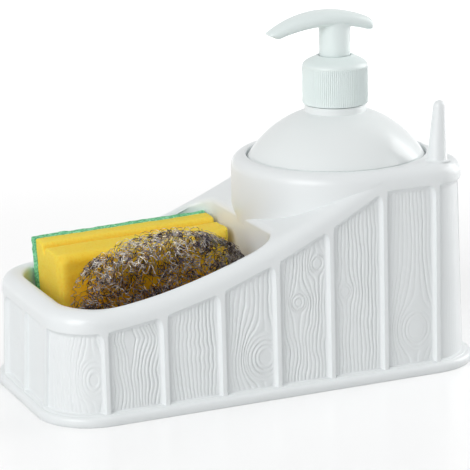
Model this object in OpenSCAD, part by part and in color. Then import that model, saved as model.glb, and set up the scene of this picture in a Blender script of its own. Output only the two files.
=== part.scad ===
// Soap pump caddy: a moulded housing with board panels, a bottle with a
// lotion pump, and a well that holds a sponge and a wire scourer.
// Millimetres, +Z up, origin on the floor under the middle of the base.

/* [Caddy] */
// Length of the base, flange to flange
body_length = 232; // [200:1:260]
// Width of the base, flange to flange
body_width = 113.2; // [108:0.1:124]
// Height of the rim round the well
rim_low = 55; // [45:1:65]
// Height of the bottle housing
housing_top = 105.8; // [95:0.1:120]
// Radius of the plan corners at the base
corner_r = 26.5; // [20:0.5:30]
// Bottle axis, in from the right end of the base
pump_inset = 58.6; // [57:0.1:64]
// Wall thickness of the moulding
wall = 1.8; // [1.4:0.1:2.4]
// Rounding of the top outer edge
edge_r = 6; // [3:0.5:8]
// Left end of the base to the start of the sweeping rim
ramp_inset = 23.4; // [15:0.1:40]

/* [Flange] */
// How far the base flange stands out
flange_out = 2.4; // [1:0.1:4]
// Height of the base flange
flange_h = 4.6; // [3:0.1:7]

/* [Boards] */
// Spacing of the battens between the boards
board_pitch = 29.27; // [26:0.01:32]
// Width of a batten at the wall face
batten_w = 3.4; // [2.5:0.1:6]
// Depth of the boards below the battens
board_depth = 2; // [1:0.1:2.4]
// Lower edge of the boards
board_bottom = 5.2; // [4.8:0.1:9]
// Band left plain under the rim
board_band = 9.4; // [8:0.1:16]

/* [Well] */
// Length of the sponge well
well_length = 104; // [98:0.5:112]
// Width of the sponge well
well_width = 91; // [88:0.5:94]
// Height of the well floor
well_floor = 5; // [4:0.5:12]
// Corner radius at the left of the well
well_corner_left = 22; // [14:0.5:26]
// Corner radius at the right of the well
well_corner_right = 13; // [10:0.5:20]
// Rounding of the well's rim
lip_r = 2.6; // [1:0.1:4]

/* [Peg] */
// Radius of the peg at its foot
peg_foot_r = 4.9; // [3.5:0.1:6]
// Radius of the peg at its tip
peg_tip_r = 3; // [2:0.1:3.4]
// Height of the peg above the housing
peg_h = 30; // [15:1:45]
// Peg ahead of the bottle axis
peg_x = 35.4; // [33:0.1:38]
// Peg in front of the bottle axis
peg_y = 41.8; // [40:0.1:43]

/* [Bottle] */
// Radius of the bottle
bottle_r = 44.9; // [43:0.1:45.5]
// Radius of the dome
dome_r = 52.3; // [50:0.1:60]
// Bottle wall thickness
bottle_wall = 1.2; // [0.8:0.1:2]
// Clearance between the bottle and its socket
socket_gap = 0.5; // [0.3:0.1:1]
// Radius of the plain collar under the thread
collar_r = 15.6; // [14.8:0.1:16]
// Height of the top of the neck
neck_top = 146; // [142:0.5:150]
// Radius of the threaded neck
neck_r = 13.6; // [13.2:0.1:13.8]
// Radius of the neck's bore
neck_bore_r = 10.9; // [10.6:0.1:11.4]

/* [Pump] */
// Outside radius of the closure over its ribs
closure_r = 16.5; // [16:0.1:18]
// Height of the closure
closure_h = 24.2; // [23:0.1:28]
// Closure's lower edge below the neck top
closure_drop = 15; // [12:0.5:16]
// Number of grip ribs on the closure
rib_count = 100; // [60:1:120]
// Stroke of the pump
stroke = 13; // [8:0.5:13.5]
// Radius of the pump bore
bore_r = 6; // [5:0.1:6.4]
// Radius of the head's skirt
skirt_r = 7.85; // [7.7:0.05:8]
// Reach of the nozzle from the axis
nozzle_reach = 37.5; // [30:0.5:42]
// Reach of the head's tail from the axis
tail_reach = 19.5; // [14:0.5:24]
// Height of the top of the head above the closure
head_h = 23; // [21:0.5:28]
// Radius of the head's top curve
head_curve_r = 58; // [50:1:80]
// Radius of the dip tube
tube_r = 3.1; // [2.6:0.1:3.3]
// Curls of the return spring
spring_curls = 9; // [6:1:10]
// Radius of the spring wire
wire_r = 0.5; // [0.4:0.05:0.6]

/* [Sponge and scourer] */
// Length of the sponge
sponge_l = 95; // [80:1:97]
// Height of the sponge as it stands
sponge_h = 67; // [50:1:75]
// Thickness of the foam
foam_t = 34; // [20:1:36]
// Thickness of the scouring pad
pad_t = 6; // [3:0.5:8]
// Length of the wire scourer
scourer_l = 94; // [70:1:96]
// Height of the wire scourer
scourer_h = 75; // [50:1:78]
// Clearance between the scourer and the well's front wall
scourer_gap = 5.6; // [3:0.1:9]

/* [Hidden] */

over = 3;
fit_gap = 0.05;
face_gap = 0.1;
turn_fn = 96;
corner_steps = 8;
ramp_steps = 16;
edge_steps = 4;
end_slope_share = 0.05;
side_slope_share = 0.01;
well_slope_share = 0.012;
ramp_share = 1.7;

half_l = body_length / 2 - flange_out;
half_w = body_width / 2 - flange_out;
pump_x = body_length / 2 - pump_inset;
ramp_x = ramp_inset - body_length / 2;
drum_r = half_w - fit_gap;

// A plan is [left x, right x, half width, left corner, right corner, end slope,
// side slope]. A station on its front half is [side, value]: sides 0 and 2 are
// the left and right corners, with an angle, and side 1 is the straight, with an x.
function grown(o, d) = [o[0] - d, o[1] + d, o[2] + d, o[3] + d, o[4] + d, o[5], o[6]];
function stations(o, x_last, steps) =
    let (x_first = o[0] + o[3])
    concat([for (i = [0:corner_steps]) [0, 90 * i / corner_steps]],
        [for (i = [1:steps]) [1, x_first + (x_last - x_first) * i / steps]],
        [for (i = [corner_steps:-1:0]) [2, 90 * i / corner_steps]]);
function corner_point(cx, way, r, w, inset, a) =
    [cx + way * (r - inset) * cos(a), -(w - r + (r - inset) * sin(a))];
function edge_point(o, st, z, inset) =
    let (w = o[2] - z * o[6], rise = z * o[5])
    st[0] == 0 ? corner_point(o[0] + o[3], -1, o[3] - rise, w, inset, st[1])
    : st[0] == 1 ? [st[1], -(w - inset)]
    : corner_point(o[1] - o[4], 1, o[4] - rise, w, inset, st[1]);

// Height of the top edge: level round the well, then sweeping up to the housing
function rim_z(x) =
    let (u = min(max((x - ramp_x) / (pump_x - ramp_x), 0), 1))
    rim_low + (housing_top - rim_low) * pow(u, ramp_share);

// A row is [measured down from the rim or not, height or drop, inset]
function row_point(o, st, row) =
    let (x = edge_point(o, st, rim_low, row[2])[0],
        z = row[0] == 1 ? rim_z(x) - row[1] : row[1],
        p = edge_point(o, st, z, row[2]))
    [p[0], p[1], z];
function mirrored(p) = [p[0], -p[1], p[2]];
function ring(o, st, rows) = concat(
    [for (row = rows) row_point(o, st, row)],
    [for (i = [len(rows) - 1:-1:0]) mirrored(row_point(o, st, rows[i]))]);
function quad(a, b, c, d) = [[a, b, c], [a, c, d]];
function round_over(r, way) = [for (i = [0:edge_steps])
    let (a = 90 * i / edge_steps) [1, r * (1 - sin(a)), way * r * (1 - cos(a))]];

// Skins rings of m points each, and closes the first and the last ring
module skin(rings) {
    n = len(rings);
    m = len(rings[0]);
    sides = [for (j = [0:n - 2], k = [0:m - 1])
        each quad(j * m + k, j * m + (k + 1) % m, (j + 1) * m + (k + 1) % m, (j + 1) * m + k)];
    near = [for (k = [0:m / 2 - 2]) each quad(m - 1 - k, m - 2 - k, k + 1, k)];
    far = [for (f = near) [for (i = [2:-1:0]) f[i] + (n - 1) * m]];
    polyhedron(points = [for (r = rings) each r], faces = concat(sides, near, far));
}
module moulded(o, rows, x_last, steps) {
    skin([for (s = stations(o, x_last, steps)) ring(o, s, rows)]);
}
module at_pump(z = 0) {
    translate([pump_x, 0, z]) children();
}

// Caddy: the outer skin, with its base flange and rounded top edge
body_plan = [-half_l, half_l, half_w, corner_r, corner_r, end_slope_share, side_slope_share];
flange_round = 1.2;
body_rows = concat(
    [[0, 0, -flange_out], [0, flange_h - flange_round, -flange_out],
        [0, flange_h, flange_round - flange_out], [0, flange_h, 0]],
    round_over(edge_r, 1));
cavity_inset = board_depth + wall;
cavity_rows = [[0, -over, cavity_inset], [1, edge_r, cavity_inset],
    [1, wall, cavity_inset + edge_r - wall]];

// Caddy: the sponge well, tapering to its floor, with a soft rim
well_right = pump_x - drum_r;
well_plan = [well_right - well_length, well_right, well_width / 2,
    well_corner_left, well_corner_right, -well_slope_share, -well_slope_share];
well_steps = 8;
well_foot_r = 2;
well_rows = concat(
    [[0, well_floor, well_foot_r], [0, well_floor + well_foot_r / 3, well_foot_r / 4],
        [0, well_floor + well_foot_r, 0]],
    round_over(lip_r, -1),
    [[1, -over, -lip_r]]);
module well_cut() {
    moulded(well_plan, well_rows, well_right - well_corner_right, well_steps);
}
module well_wall() {
    plan = grown(well_plan, wall);
    rows = [[0, well_floor - wall, well_foot_r], [0, well_floor + well_foot_r, 0], [1, 0, 0]];
    moulded(plan, rows, well_right - well_corner_right, well_steps);
}

// Caddy: the half drum of the housing that faces the well, and the bottle's socket
socket_r = bottle_r + socket_gap;
socket_floor = 3;
mouth_round = 0.8;
drum_top = housing_top - fit_gap;
module drum(r_foot, z_foot, h, top_r) {
    r_top = r_foot - h * side_slope_share;
    rotate(90) rotate_extrude(angle = 180, $fn = turn_fn) polygon(concat(
        [[0, z_foot], [r_foot, z_foot]],
        [for (i = [0:edge_steps]) let (a = 90 * i / edge_steps)
            [r_top - top_r * (1 - cos(a)), h - top_r * (1 - sin(a))]],
        [[0, h]]));
}
module socket_wall() {
    at_pump(socket_floor - wall)
        cylinder(r = socket_r + wall, h = housing_top, $fn = turn_fn);
}
module socket_cut() {
    at_pump(socket_floor) cylinder(r = socket_r, h = housing_top, $fn = turn_fn);
    at_pump(housing_top - mouth_round)
        cylinder(r1 = socket_r, r2 = socket_r + mouth_round + over, h = mouth_round + over,
            $fn = turn_fn);
}

// Caddy: boards, shallow recesses with sloping sides between upright battens
board_run = 1.5;
post_r = 3.6;
post_fn = 16;
board_clear = 0.3;
flare = board_run * board_clear / board_depth;
batten_last = 3;
batten_shift = -0.9;
function batten_x(i) = i * board_pitch + batten_shift;
module board_post(u, v) {
    translate([u, v, -board_depth]) cylinder(r1 = post_r - board_run, r2 = post_r + flare,
        h = board_depth + board_clear, $fn = post_fn);
    translate([u, v, board_clear]) cylinder(r = post_r + flare, h = over, $fn = post_fn);
}
module board_recess(u0, u1, top0, top1) {
    hull() {
        board_post(u0 + post_r, board_bottom + post_r);
        board_post(u1 - post_r, board_bottom + post_r);
        board_post(u0 + post_r, top0 - post_r);
        board_post(u1 - post_r, top1 - post_r);
    }
}
module side_boards() {
    lean = atan(side_slope_share);
    translate([0, -half_w, 0]) rotate([90 - lean, 0, 0])
        for (i = [-batten_last:batten_last - 1]) {
            u0 = batten_x(i) + batten_w / 2;
            u1 = batten_x(i + 1) - batten_w / 2;
            board_recess(u0, u1, rim_z(u0) - board_band, rim_z(u1) - board_band);
        }
}
module end_boards(way, top) {
    lean = atan(end_slope_share);
    translate([way * half_l, 0, 0]) rotate([90 - lean, 0, way * 90])
        for (flip = [0, 1]) mirror([flip, 0, 0])
            board_recess(batten_w / 2, board_pitch - batten_w / 2, top, top);
}
// The board that wraps a plan corner: its outline on the wall and its floor turn together
wrap_steps = 6;
round_steps = 3;
function corner_angle(edge, centre) = asin((edge - centre) / corner_r);
function arc_angle(length) = length / corner_r * 180 / PI;
function wrap_edge(i) =
    let (t = 90 * i / round_steps, r_in = post_r - board_run, r_out = post_r + flare)
    [r_out * (1 - cos(t)) - flare, r_in * (1 - cos(t)) + board_run,
        r_out * (1 - sin(t)) - flare, r_in * (1 - sin(t)) + board_run];
function wrap_ring(side, a_out, a_in, drop_out, drop_in, top) =
    [for (q = [[a_out, board_bottom + drop_out, -over],
            [a_out, board_bottom + drop_out, -board_clear],
            [a_in, board_bottom + drop_in, board_depth], [a_in, top - drop_in, board_depth],
            [a_out, top - drop_out, -board_clear], [a_out, top - drop_out, -over]])
        let (p = edge_point(body_plan, [side, q[0]], q[1], q[2])) [p[0], p[1], q[1]]];
module corner_board(side, a0, a1, top) {
    inner0 = a0 + arc_angle(post_r);
    inner1 = a1 - arc_angle(post_r);
    first = [for (i = [0:round_steps]) let (e = wrap_edge(i))
        wrap_ring(side, a0 + arc_angle(e[0]), a0 + arc_angle(e[1]), e[2], e[3], top)];
    middle = [for (i = [1:wrap_steps - 1]) let (a = inner0 + (inner1 - inner0) * i / wrap_steps)
        wrap_ring(side, a, a, -flare, board_run, top)];
    last = [for (i = [round_steps:-1:0]) let (e = wrap_edge(i))
        wrap_ring(side, a1 - arc_angle(e[0]), a1 - arc_angle(e[1]), e[2], e[3], top)];
    rings = concat(first, middle, last);
    n = len(rings);
    skin(side == 2 ? rings : [for (i = [n - 1:-1:0]) rings[i]]);
}
module boards() {
    low_top = rim_low - board_band;
    high_top = housing_top - board_band;
    end_edge = corner_angle(board_pitch + batten_w / 2, half_w - corner_r);
    left_edge = corner_angle(batten_w / 2 - batten_x(-batten_last), half_l - corner_r);
    right_edge = corner_angle(batten_w / 2 + batten_x(batten_last), half_l - corner_r);
    for (back = [0, 1]) mirror([0, back, 0]) {
        side_boards();
        corner_board(0, end_edge, 90 - left_edge, low_top);
        corner_board(2, end_edge, 90 - right_edge, high_top);
    }
    end_boards(-1, low_top);
    end_boards(1, high_top);
}

// Caddy: the tapered peg at the front right corner
peg_root = 1;
module peg() {
    at_pump(housing_top) translate([peg_x, -peg_y, 0]) hull() {
        translate([0, 0, -peg_root]) cylinder(r = peg_foot_r, h = peg_root, $fn = post_fn * 2);
        translate([0, 0, peg_h - peg_tip_r]) sphere(r = peg_tip_r, $fn = post_fn * 2);
    }
}

module caddy_body() {
    color("white") difference() {
        union() {
            difference() {
                moulded(body_plan, body_rows, pump_x, ramp_steps);
                well_cut();
            }
            at_pump() drum(drum_r, flange_h / 2, drum_top, edge_r);
            peg();
        }
        difference() {
            union() {
                moulded(body_plan, cavity_rows, pump_x, ramp_steps);
                at_pump() drum(drum_r - cavity_inset, -over / 2, drum_top - wall, edge_r - wall);
            }
            well_wall();
            socket_wall();
        }
        socket_cut();
        boards();
    }
}

// Bottle: a drum with a domed shoulder, a plain collar and a neck
collar_gap = 0.4;
collar_h = 3.7;
bottle_foot_r = 4;
dome_steps = 12;
closure_foot = neck_top - closure_drop;
closure_top = closure_foot + closure_h;
collar_top = closure_foot - collar_gap;
collar_foot = collar_top - collar_h;
dome_z = collar_foot - sqrt(pow(dome_r, 2) - pow(collar_r, 2));
function bottle_line(d) =
    let (r = bottle_r - d, rd = dome_r - d, rc = collar_r - d, z0 = socket_floor + d,
        rf = bottle_foot_r - d, a0 = acos(r / rd), a1 = acos(rc / rd))
    concat([[0, z0], [r - rf, z0]],
        [for (i = [1:edge_steps]) let (a = 90 * i / edge_steps)
            [r - rf * (1 - sin(a)), z0 + rf * (1 - cos(a))]],
        [for (i = [0:dome_steps]) let (a = a0 + (a1 - a0) * i / dome_steps)
            [rd * cos(a), dome_z + rd * sin(a)]]);
module bottle() {
    color("white") at_pump() difference() {
        rotate_extrude($fn = turn_fn) polygon(concat(bottle_line(0),
            [[collar_r, collar_top], [neck_r, collar_top], [neck_r, neck_top], [0, neck_top]]));
        rotate_extrude($fn = turn_fn) polygon(concat(bottle_line(bottle_wall),
            [[neck_bore_r, collar_foot], [neck_bore_r, neck_top + over], [0, neck_top + over]]));
    }
}

// Pump: heights and radii that its pieces share
gasket_t = 1;
flange_t = 1.4;
flange_foot = neck_top + gasket_t;
flange_top = flange_foot + flange_t;
ring_wall = 0.8;
skirt_gap = 0.3;
ring_r = skirt_r + skirt_gap + ring_wall;
opening_r = ring_r + fit_gap;
cup_r = ring_r + fit_gap;
cup_wall = 1.1;
cup_depth = 17.2;
ring_foot = closure_top - cup_depth;
ring_floor_t = 1.4;
ring_top = closure_top - face_gap;
end_gap = 0.5;
sleeve_drop = 3;
sleeve_top = ring_top - sleeve_drop;
skirt_foot = ring_foot + ring_floor_t + stroke + end_gap;
boss_foot = sleeve_top + stroke + end_gap;

// Closure: ribbed skirt, sloping shoulder, opening for the head's skirt
thread_gap = 0.5;
rib_depth = 0.35;
shoulder_h = 7.2;
closure_bore_r = neck_r + thread_gap;
shoulder_shares = [[0.03, 0], [0.1, 0.28], [0.28, 0.5], [0.57, 0.73], [0.95, 1]];
module closure() {
    smooth_r = closure_r - rib_depth;
    rib_h = closure_h - shoulder_h;
    color("white") at_pump(closure_foot) difference() {
        union() {
            linear_extrude(height = rib_h) polygon([for (i = [0:rib_count - 1], k = [0:3])
                let (r = k < 2 ? closure_r : smooth_r, a = 360 * (i + k / 4) / rib_count)
                [r * cos(a), r * sin(a)]]);
            rotate_extrude($fn = turn_fn) polygon(concat(
                [[0, rib_h - face_gap], [smooth_r, rib_h - face_gap]],
                [for (s = shoulder_shares)
                    [closure_r - s[0] * (closure_r - opening_r), rib_h + s[1] * shoulder_h]],
                [[0, closure_h]]));
        }
        translate([0, 0, -over])
            cylinder(r = closure_bore_r, h = flange_top + face_gap - closure_foot + over,
                $fn = turn_fn);
        cylinder(r = opening_r, h = closure_h + over, $fn = turn_fn);
    }
}

module neck_gasket() {
    color("gainsboro") at_pump(neck_top) difference() {
        cylinder(r = neck_r - face_gap, h = gasket_t, $fn = turn_fn);
        translate([0, 0, -over]) cylinder(r = neck_bore_r, h = gasket_t + 2 * over, $fn = turn_fn);
    }
}

// Pump housing: flange, cup, barrel, ball chamber and tube socket as one turned profile
barrel_wall = 1.1;
barrel_l = 42;
barrel_r = bore_r + barrel_wall;
barrel_foot = ring_foot - barrel_l;
ball_r = 2.6;
ball_gap = 0.7;
ball_lift = 1.5;
chamber_r = ball_r + ball_gap;
throat_r = 1.8;
throat_h = 1.5;
chamber_h = ball_lift + ball_r + ball_gap;
seat_h = chamber_r - throat_r;
chamber_foot = barrel_foot - chamber_h;
seat_foot = chamber_foot - seat_h;
tube_grip = 9;
tube_top = seat_foot - throat_h;
tube_wall = 0.8;
socket_out_r = tube_r + fit_gap + barrel_wall;
module pump_housing() {
    cup_out_r = cup_r + cup_wall;
    cone_h = cup_out_r - barrel_r;
    foot = tube_top - tube_grip;
    bore = tube_r + fit_gap;
    color("white") at_pump() rotate_extrude($fn = turn_fn) polygon([
        [cup_r, flange_top], [neck_r - face_gap, flange_top], [neck_r - face_gap, flange_foot],
        [cup_out_r, flange_foot], [cup_out_r, ring_foot - barrel_wall],
        [barrel_r, ring_foot - barrel_wall - cone_h], [barrel_r, chamber_foot],
        [socket_out_r, seat_foot - barrel_wall], [socket_out_r, foot],
        [bore, foot], [bore, tube_top], [throat_r, tube_top], [throat_r, seat_foot],
        [chamber_r, chamber_foot], [chamber_r, barrel_foot], [bore_r, barrel_foot],
        [bore_r, ring_foot], [cup_r, ring_foot]]);
}

// Lock ring: a cup whose sleeve guides the stem and whose groove takes the head's skirt
stem_r = 3.5;
skirt_wall = 1.3;
module lock_ring() {
    sleeve_r = skirt_r - skirt_wall - skirt_gap;
    color("white") at_pump() rotate_extrude($fn = turn_fn) polygon([
        [stem_r + fit_gap, ring_foot], [ring_r, ring_foot], [ring_r, ring_top],
        [ring_r - ring_wall, ring_top], [ring_r - ring_wall, ring_foot + ring_floor_t],
        [sleeve_r, ring_foot + ring_floor_t], [sleeve_r, sleeve_top],
        [stem_r + fit_gap, sleeve_top]]);
}

// Stem: a hollow rod with a foot and a collar that hold the piston between them
stem_bore_r = 1.6;
stem_collar_t = 1.2;
piston_h = 6.5;
foot_t = 1.5;
stem_collar_r = 4.4;
stem_foot_r = 5.2;
collar_z = ring_foot - face_gap - stem_collar_t;
piston_top = collar_z - face_gap;
piston_foot = piston_top - piston_h;
stem_foot = piston_foot - face_gap - foot_t;
head_top = closure_top + head_h;
head_thick = 8;
head_peak_x = -5.8;
head_under_r = 75;
function arch_z(x, peak, r) = peak - r + sqrt(pow(r, 2) - pow(x - head_peak_x, 2));
function top_z(x) = arch_z(x, head_top, head_curve_r);
function under_z(x) = arch_z(x, head_top - head_thick, head_under_r);
stem_top = under_z(0);
module stem() {
    seat = stem_r - ring_wall;
    color("white") at_pump() rotate_extrude($fn = turn_fn) polygon([
        [stem_bore_r, stem_foot], [stem_foot_r, stem_foot], [stem_foot_r, stem_foot + foot_t],
        [stem_r, stem_foot + foot_t], [stem_r, collar_z], [stem_collar_r, collar_z],
        [stem_collar_r, collar_z + stem_collar_t], [stem_r, collar_z + stem_collar_t],
        [stem_r, stem_top], [seat, stem_top], [stem_bore_r, stem_top - (seat - stem_bore_r)]]);
}

// Piston: two sealing lips joined by a narrower waist
lip_h = 1.6;
waist_gap = 0.8;
module piston() {
    out_r = bore_r - fit_gap;
    waist = out_r - waist_gap;
    color("whitesmoke") at_pump() rotate_extrude($fn = turn_fn) polygon([
        [stem_r + fit_gap, piston_foot], [out_r, piston_foot], [out_r, piston_foot + lip_h],
        [waist, piston_foot + lip_h + waist_gap], [waist, piston_top - lip_h - waist_gap],
        [out_r, piston_top - lip_h], [out_r, piston_top], [stem_r + fit_gap, piston_top]]);
}

// Return spring: one unbroken helical wire from the barrel's shelf to the stem's foot
curl_rings = 8;
wire_sides = 6;
spring_r = stem_foot_r - wire_r - face_gap;
spring_foot = barrel_foot + face_gap + wire_r;
spring_top = stem_foot - face_gap - wire_r;
spring_pitch = (spring_top - spring_foot) / spring_curls;
spring_rings = [for (i = [0:spring_curls * curl_rings])
    let (t = i / curl_rings, a = 360 * t, z = spring_foot + spring_pitch * t)
    [for (k = [0:wire_sides - 1])
        let (b = 360 * k / wire_sides, r = spring_r + wire_r * cos(b))
        [r * cos(a), r * sin(a), z + wire_r * sin(b)]]];
echo(least_spring_gap = spring_pitch - 2 * wire_r);
module return_spring() {
    color("silver") at_pump() skin(spring_rings);
}

// Check balls, each a hair above its conical seat
seat_share = sqrt(2);
outlet_r = 2.3;
outlet_lift = 1.2;
module inlet_ball() {
    color("silver") at_pump(seat_foot - throat_r + ball_r * seat_share + fit_gap)
        sphere(r = ball_r, $fn = turn_fn);
}
module outlet_ball() {
    seat_z = stem_top - (stem_r - ring_wall);
    color("silver") at_pump(seat_z + outlet_r * seat_share + fit_gap)
        sphere(r = outlet_r, $fn = turn_fn);
}

tube_lift = 2;
module dip_tube() {
    foot = socket_floor + bottle_wall + tube_lift;
    color("whitesmoke") at_pump(foot) difference() {
        cylinder(r = tube_r, h = tube_top - foot, $fn = turn_fn);
        translate([0, 0, -over])
            cylinder(r = tube_r - tube_wall, h = tube_top - foot + 2 * over, $fn = turn_fn);
    }
}

// Actuator head: an arched beam with a nozzle at one end, over a telescoping skirt
head_steps = 14;
head_sides = 16;
head_flat_share = 0.8;
head_mid_share = 0.66;
tip_half_w = 4.3;
mid_half_w = 8.7;
tail_half_w = 6.5;
tip_undercut = 6;
beam_seat = 2;
channel_r = 1.5;
nozzle_bore_r = 1.9;
chamber_wall = 1.4;
function head_half_w(u) = u < head_mid_share
    ? tip_half_w + (mid_half_w - tip_half_w) * sin(90 * u / head_mid_share)
    : tail_half_w + (mid_half_w - tail_half_w) * cos(90 * (u - head_mid_share) / (1 - head_mid_share));
function squared(v) = sign(v) * pow(abs(v), head_flat_share);
function head_ring(u, close_share) =
    let (reach = nozzle_reach + tail_reach,
        xt = u * reach - nozzle_reach,
        xb = u * (reach - tip_undercut) - nozzle_reach + tip_undercut,
        zt = top_z(xt), zb = under_z(xb), w = head_half_w(u))
    [for (k = [0:head_sides - 1])
        let (a = 90 - 360 * (k + 0.5) / head_sides,
            up = squared(sin(a)) * close_share, wide = squared(cos(a)) * close_share)
        [(xt + xb + up * (xt - xb)) / 2, w * wide, (zt + zb + up * (zt - zb)) / 2]];
end_shares = [[0, 0.84], [0.02, 1], [0.95, 1], [0.985, 0.88], [1, 0.55]];
module head_beam() {
    middle = [for (i = [1:head_steps - 1]) [i / head_steps, 1]];
    ends = [for (e = end_shares) if (e[0] > middle[len(middle) - 1][0]) e];
    starts = [for (e = end_shares) if (e[0] < middle[0][0]) e];
    skin([for (s = concat(starts, middle, ends)) head_ring(s[0], s[1])]);
}
module channel(from, to, r, extra) {
    run = to - from;
    turn = acos(run[2] / norm(run));
    translate(from) rotate([0, -turn, 0]) translate([0, 0, -extra])
        cylinder(r = r, h = norm(run) + 2 * extra, $fn = turn_fn);
}
module actuator_head() {
    beam_foot = under_z(0);
    chamber_top = stem_top + outlet_r * 2 + outlet_lift + fit_gap;
    bend_x = -nozzle_reach / 2;
    bend = [bend_x, 0, (top_z(bend_x) + under_z(bend_x)) / 2];
    start = [0, 0, chamber_top - channel_r];
    mouth_x = tip_undercut / 2 - nozzle_reach;
    mouth = [mouth_x, 0, (top_z(mouth_x) + under_z(mouth_x)) / 2];
    color("white") at_pump() difference() {
        union() {
            head_beam();
            translate([0, 0, skirt_foot]) difference() {
                cylinder(r = skirt_r, h = beam_foot - skirt_foot + beam_seat, $fn = turn_fn);
                translate([0, 0, -over]) cylinder(r = skirt_r - skirt_wall,
                    h = beam_foot - skirt_foot + over, $fn = turn_fn);
            }
            translate([0, 0, boss_foot]) cylinder(r = stem_r + chamber_wall,
                h = beam_foot - boss_foot + beam_seat, $fn = turn_fn);
        }
        translate([0, 0, boss_foot - over])
            cylinder(r = stem_r + fit_gap, h = stem_top - boss_foot + over, $fn = turn_fn);
        translate([0, 0, stem_top - over])
            cylinder(r = outlet_r + face_gap, h = chamber_top - stem_top + over, $fn = turn_fn);
        channel(start, bend, channel_r, 0);
        channel(bend, mouth, nozzle_bore_r, nozzle_bore_r);
    }
}

// Sponge: foam with a finger groove, bonded to a scouring pad, standing on its long edge.
// Its back corners are drawn in so that they clear the well's corners.
soft_gap = 0.4;
sponge_gap = 3;
corner_gap = 1.8;
groove_w = 3;
groove_depth = 6;
groove_inset = 10;
sponge_right = well_right - sponge_gap;
sponge_left = sponge_right - sponge_l;
sponge_back = well_width / 2 - sponge_gap;
foam_back = sponge_back - pad_t;
foam_front = foam_back - foam_t;
sponge_foot = well_floor + soft_gap;
function drawn_in(corner, end) =
    let (a = corner - end, b = corner - sponge_gap, c = corner - corner_gap, s = a + b - c)
    s - sqrt(pow(s, 2) - pow(a, 2) - pow(b, 2) + pow(c, 2));
module sponge_plan() {
    left = drawn_in(well_corner_left, sponge_left - well_right + well_length);
    right = drawn_in(well_corner_right, sponge_gap);
    translate([sponge_left, foam_front]) square([sponge_l, foam_t / 2]);
    translate([sponge_left, foam_front])
        square([sponge_l, sponge_back - foam_front - max(left, right)]);
    translate([sponge_left + left, foam_front])
        square([sponge_l - left - right, sponge_back - foam_front]);
    translate([sponge_left + left, sponge_back - left]) circle(r = left, $fn = turn_fn);
    translate([sponge_right - right, sponge_back - right]) circle(r = right, $fn = turn_fn);
    translate([sponge_right - right, foam_front + foam_t / 2])
        square([right, sponge_back - right - foam_front - foam_t / 2]);
}
module sponge_layer(y0, y1) {
    translate([0, 0, sponge_foot]) linear_extrude(height = sponge_h) intersection() {
        sponge_plan();
        translate([sponge_left - over, y0]) square([sponge_l + 2 * over, y1 - y0]);
    }
}
module sponge_foam() {
    color("gold") difference() {
        sponge_layer(foam_front, foam_back);
        for (z = [sponge_foot - over, sponge_foot + sponge_h - groove_depth])
            translate([sponge_left - over, foam_back - groove_inset - groove_w, z])
                cube([sponge_l + 2 * over, groove_w, groove_depth + over]);
    }
}
module scouring_pad() {
    color("green") sponge_layer(foam_back, sponge_back);
}

// Wire scourer: the plain closed form of the tangle, an upright bun with its peak
// towards the bottle, that fills the well in front of the sponge
scourer_t = foam_front - soft_gap + well_width / 2 - scourer_gap;
bun_rings = 16;
bun_sides = 16;
bun_end_share = 0.35;
peak_share = 0.63;
module wire_scourer() {
    mid = [sponge_right - sponge_gap - scourer_l * (1 - peak_share),
        foam_front - soft_gap - scourer_t / 2, sponge_foot + scourer_h / 2];
    color("dimgray") translate(mid)
        skin([for (i = [0:bun_rings])
            let (a = 180 * (i + bun_end_share) / (bun_rings + 2 * bun_end_share), x = -cos(a),
                side_share = x < 0 ? peak_share : 1 - peak_share)
            [for (k = [0:bun_sides - 1]) let (b = 360 * k / bun_sides)
                [scourer_l * side_share * x, scourer_t / 2 * sin(a) * cos(b),
                    -scourer_h / 2 * sin(a) * sin(b)]]]);
}

caddy_body();
bottle();
closure();
neck_gasket();
pump_housing();
lock_ring();
stem();
piston();
return_spring();
inlet_ball();
outlet_ball();
dip_tube();
actuator_head();
sponge_foam();
scouring_pad();
wire_scourer();
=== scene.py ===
"""Soap pump caddy: its looks, a pale floor, soft light and the camera."""

import math

import bmesh
import bpy
import numpy as np
from mathutils import Matrix, Vector
from mathutils.geometry import delaunay_2d_cdt

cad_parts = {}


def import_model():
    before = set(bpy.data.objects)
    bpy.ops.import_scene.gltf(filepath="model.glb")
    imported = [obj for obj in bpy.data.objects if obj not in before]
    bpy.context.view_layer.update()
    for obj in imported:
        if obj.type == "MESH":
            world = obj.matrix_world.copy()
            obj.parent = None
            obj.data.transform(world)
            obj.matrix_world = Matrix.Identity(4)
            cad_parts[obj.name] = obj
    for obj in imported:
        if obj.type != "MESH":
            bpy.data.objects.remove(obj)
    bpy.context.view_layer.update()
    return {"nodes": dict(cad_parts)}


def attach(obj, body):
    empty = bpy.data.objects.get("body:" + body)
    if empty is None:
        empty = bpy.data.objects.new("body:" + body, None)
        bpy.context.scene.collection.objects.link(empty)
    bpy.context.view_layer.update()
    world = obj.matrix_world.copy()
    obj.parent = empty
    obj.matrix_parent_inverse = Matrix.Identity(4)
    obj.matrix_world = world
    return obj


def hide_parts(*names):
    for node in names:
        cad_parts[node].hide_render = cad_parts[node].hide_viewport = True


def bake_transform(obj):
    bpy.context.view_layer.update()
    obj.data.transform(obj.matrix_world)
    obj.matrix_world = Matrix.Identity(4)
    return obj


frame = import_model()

MM = 0.001
PI = math.pi

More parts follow.
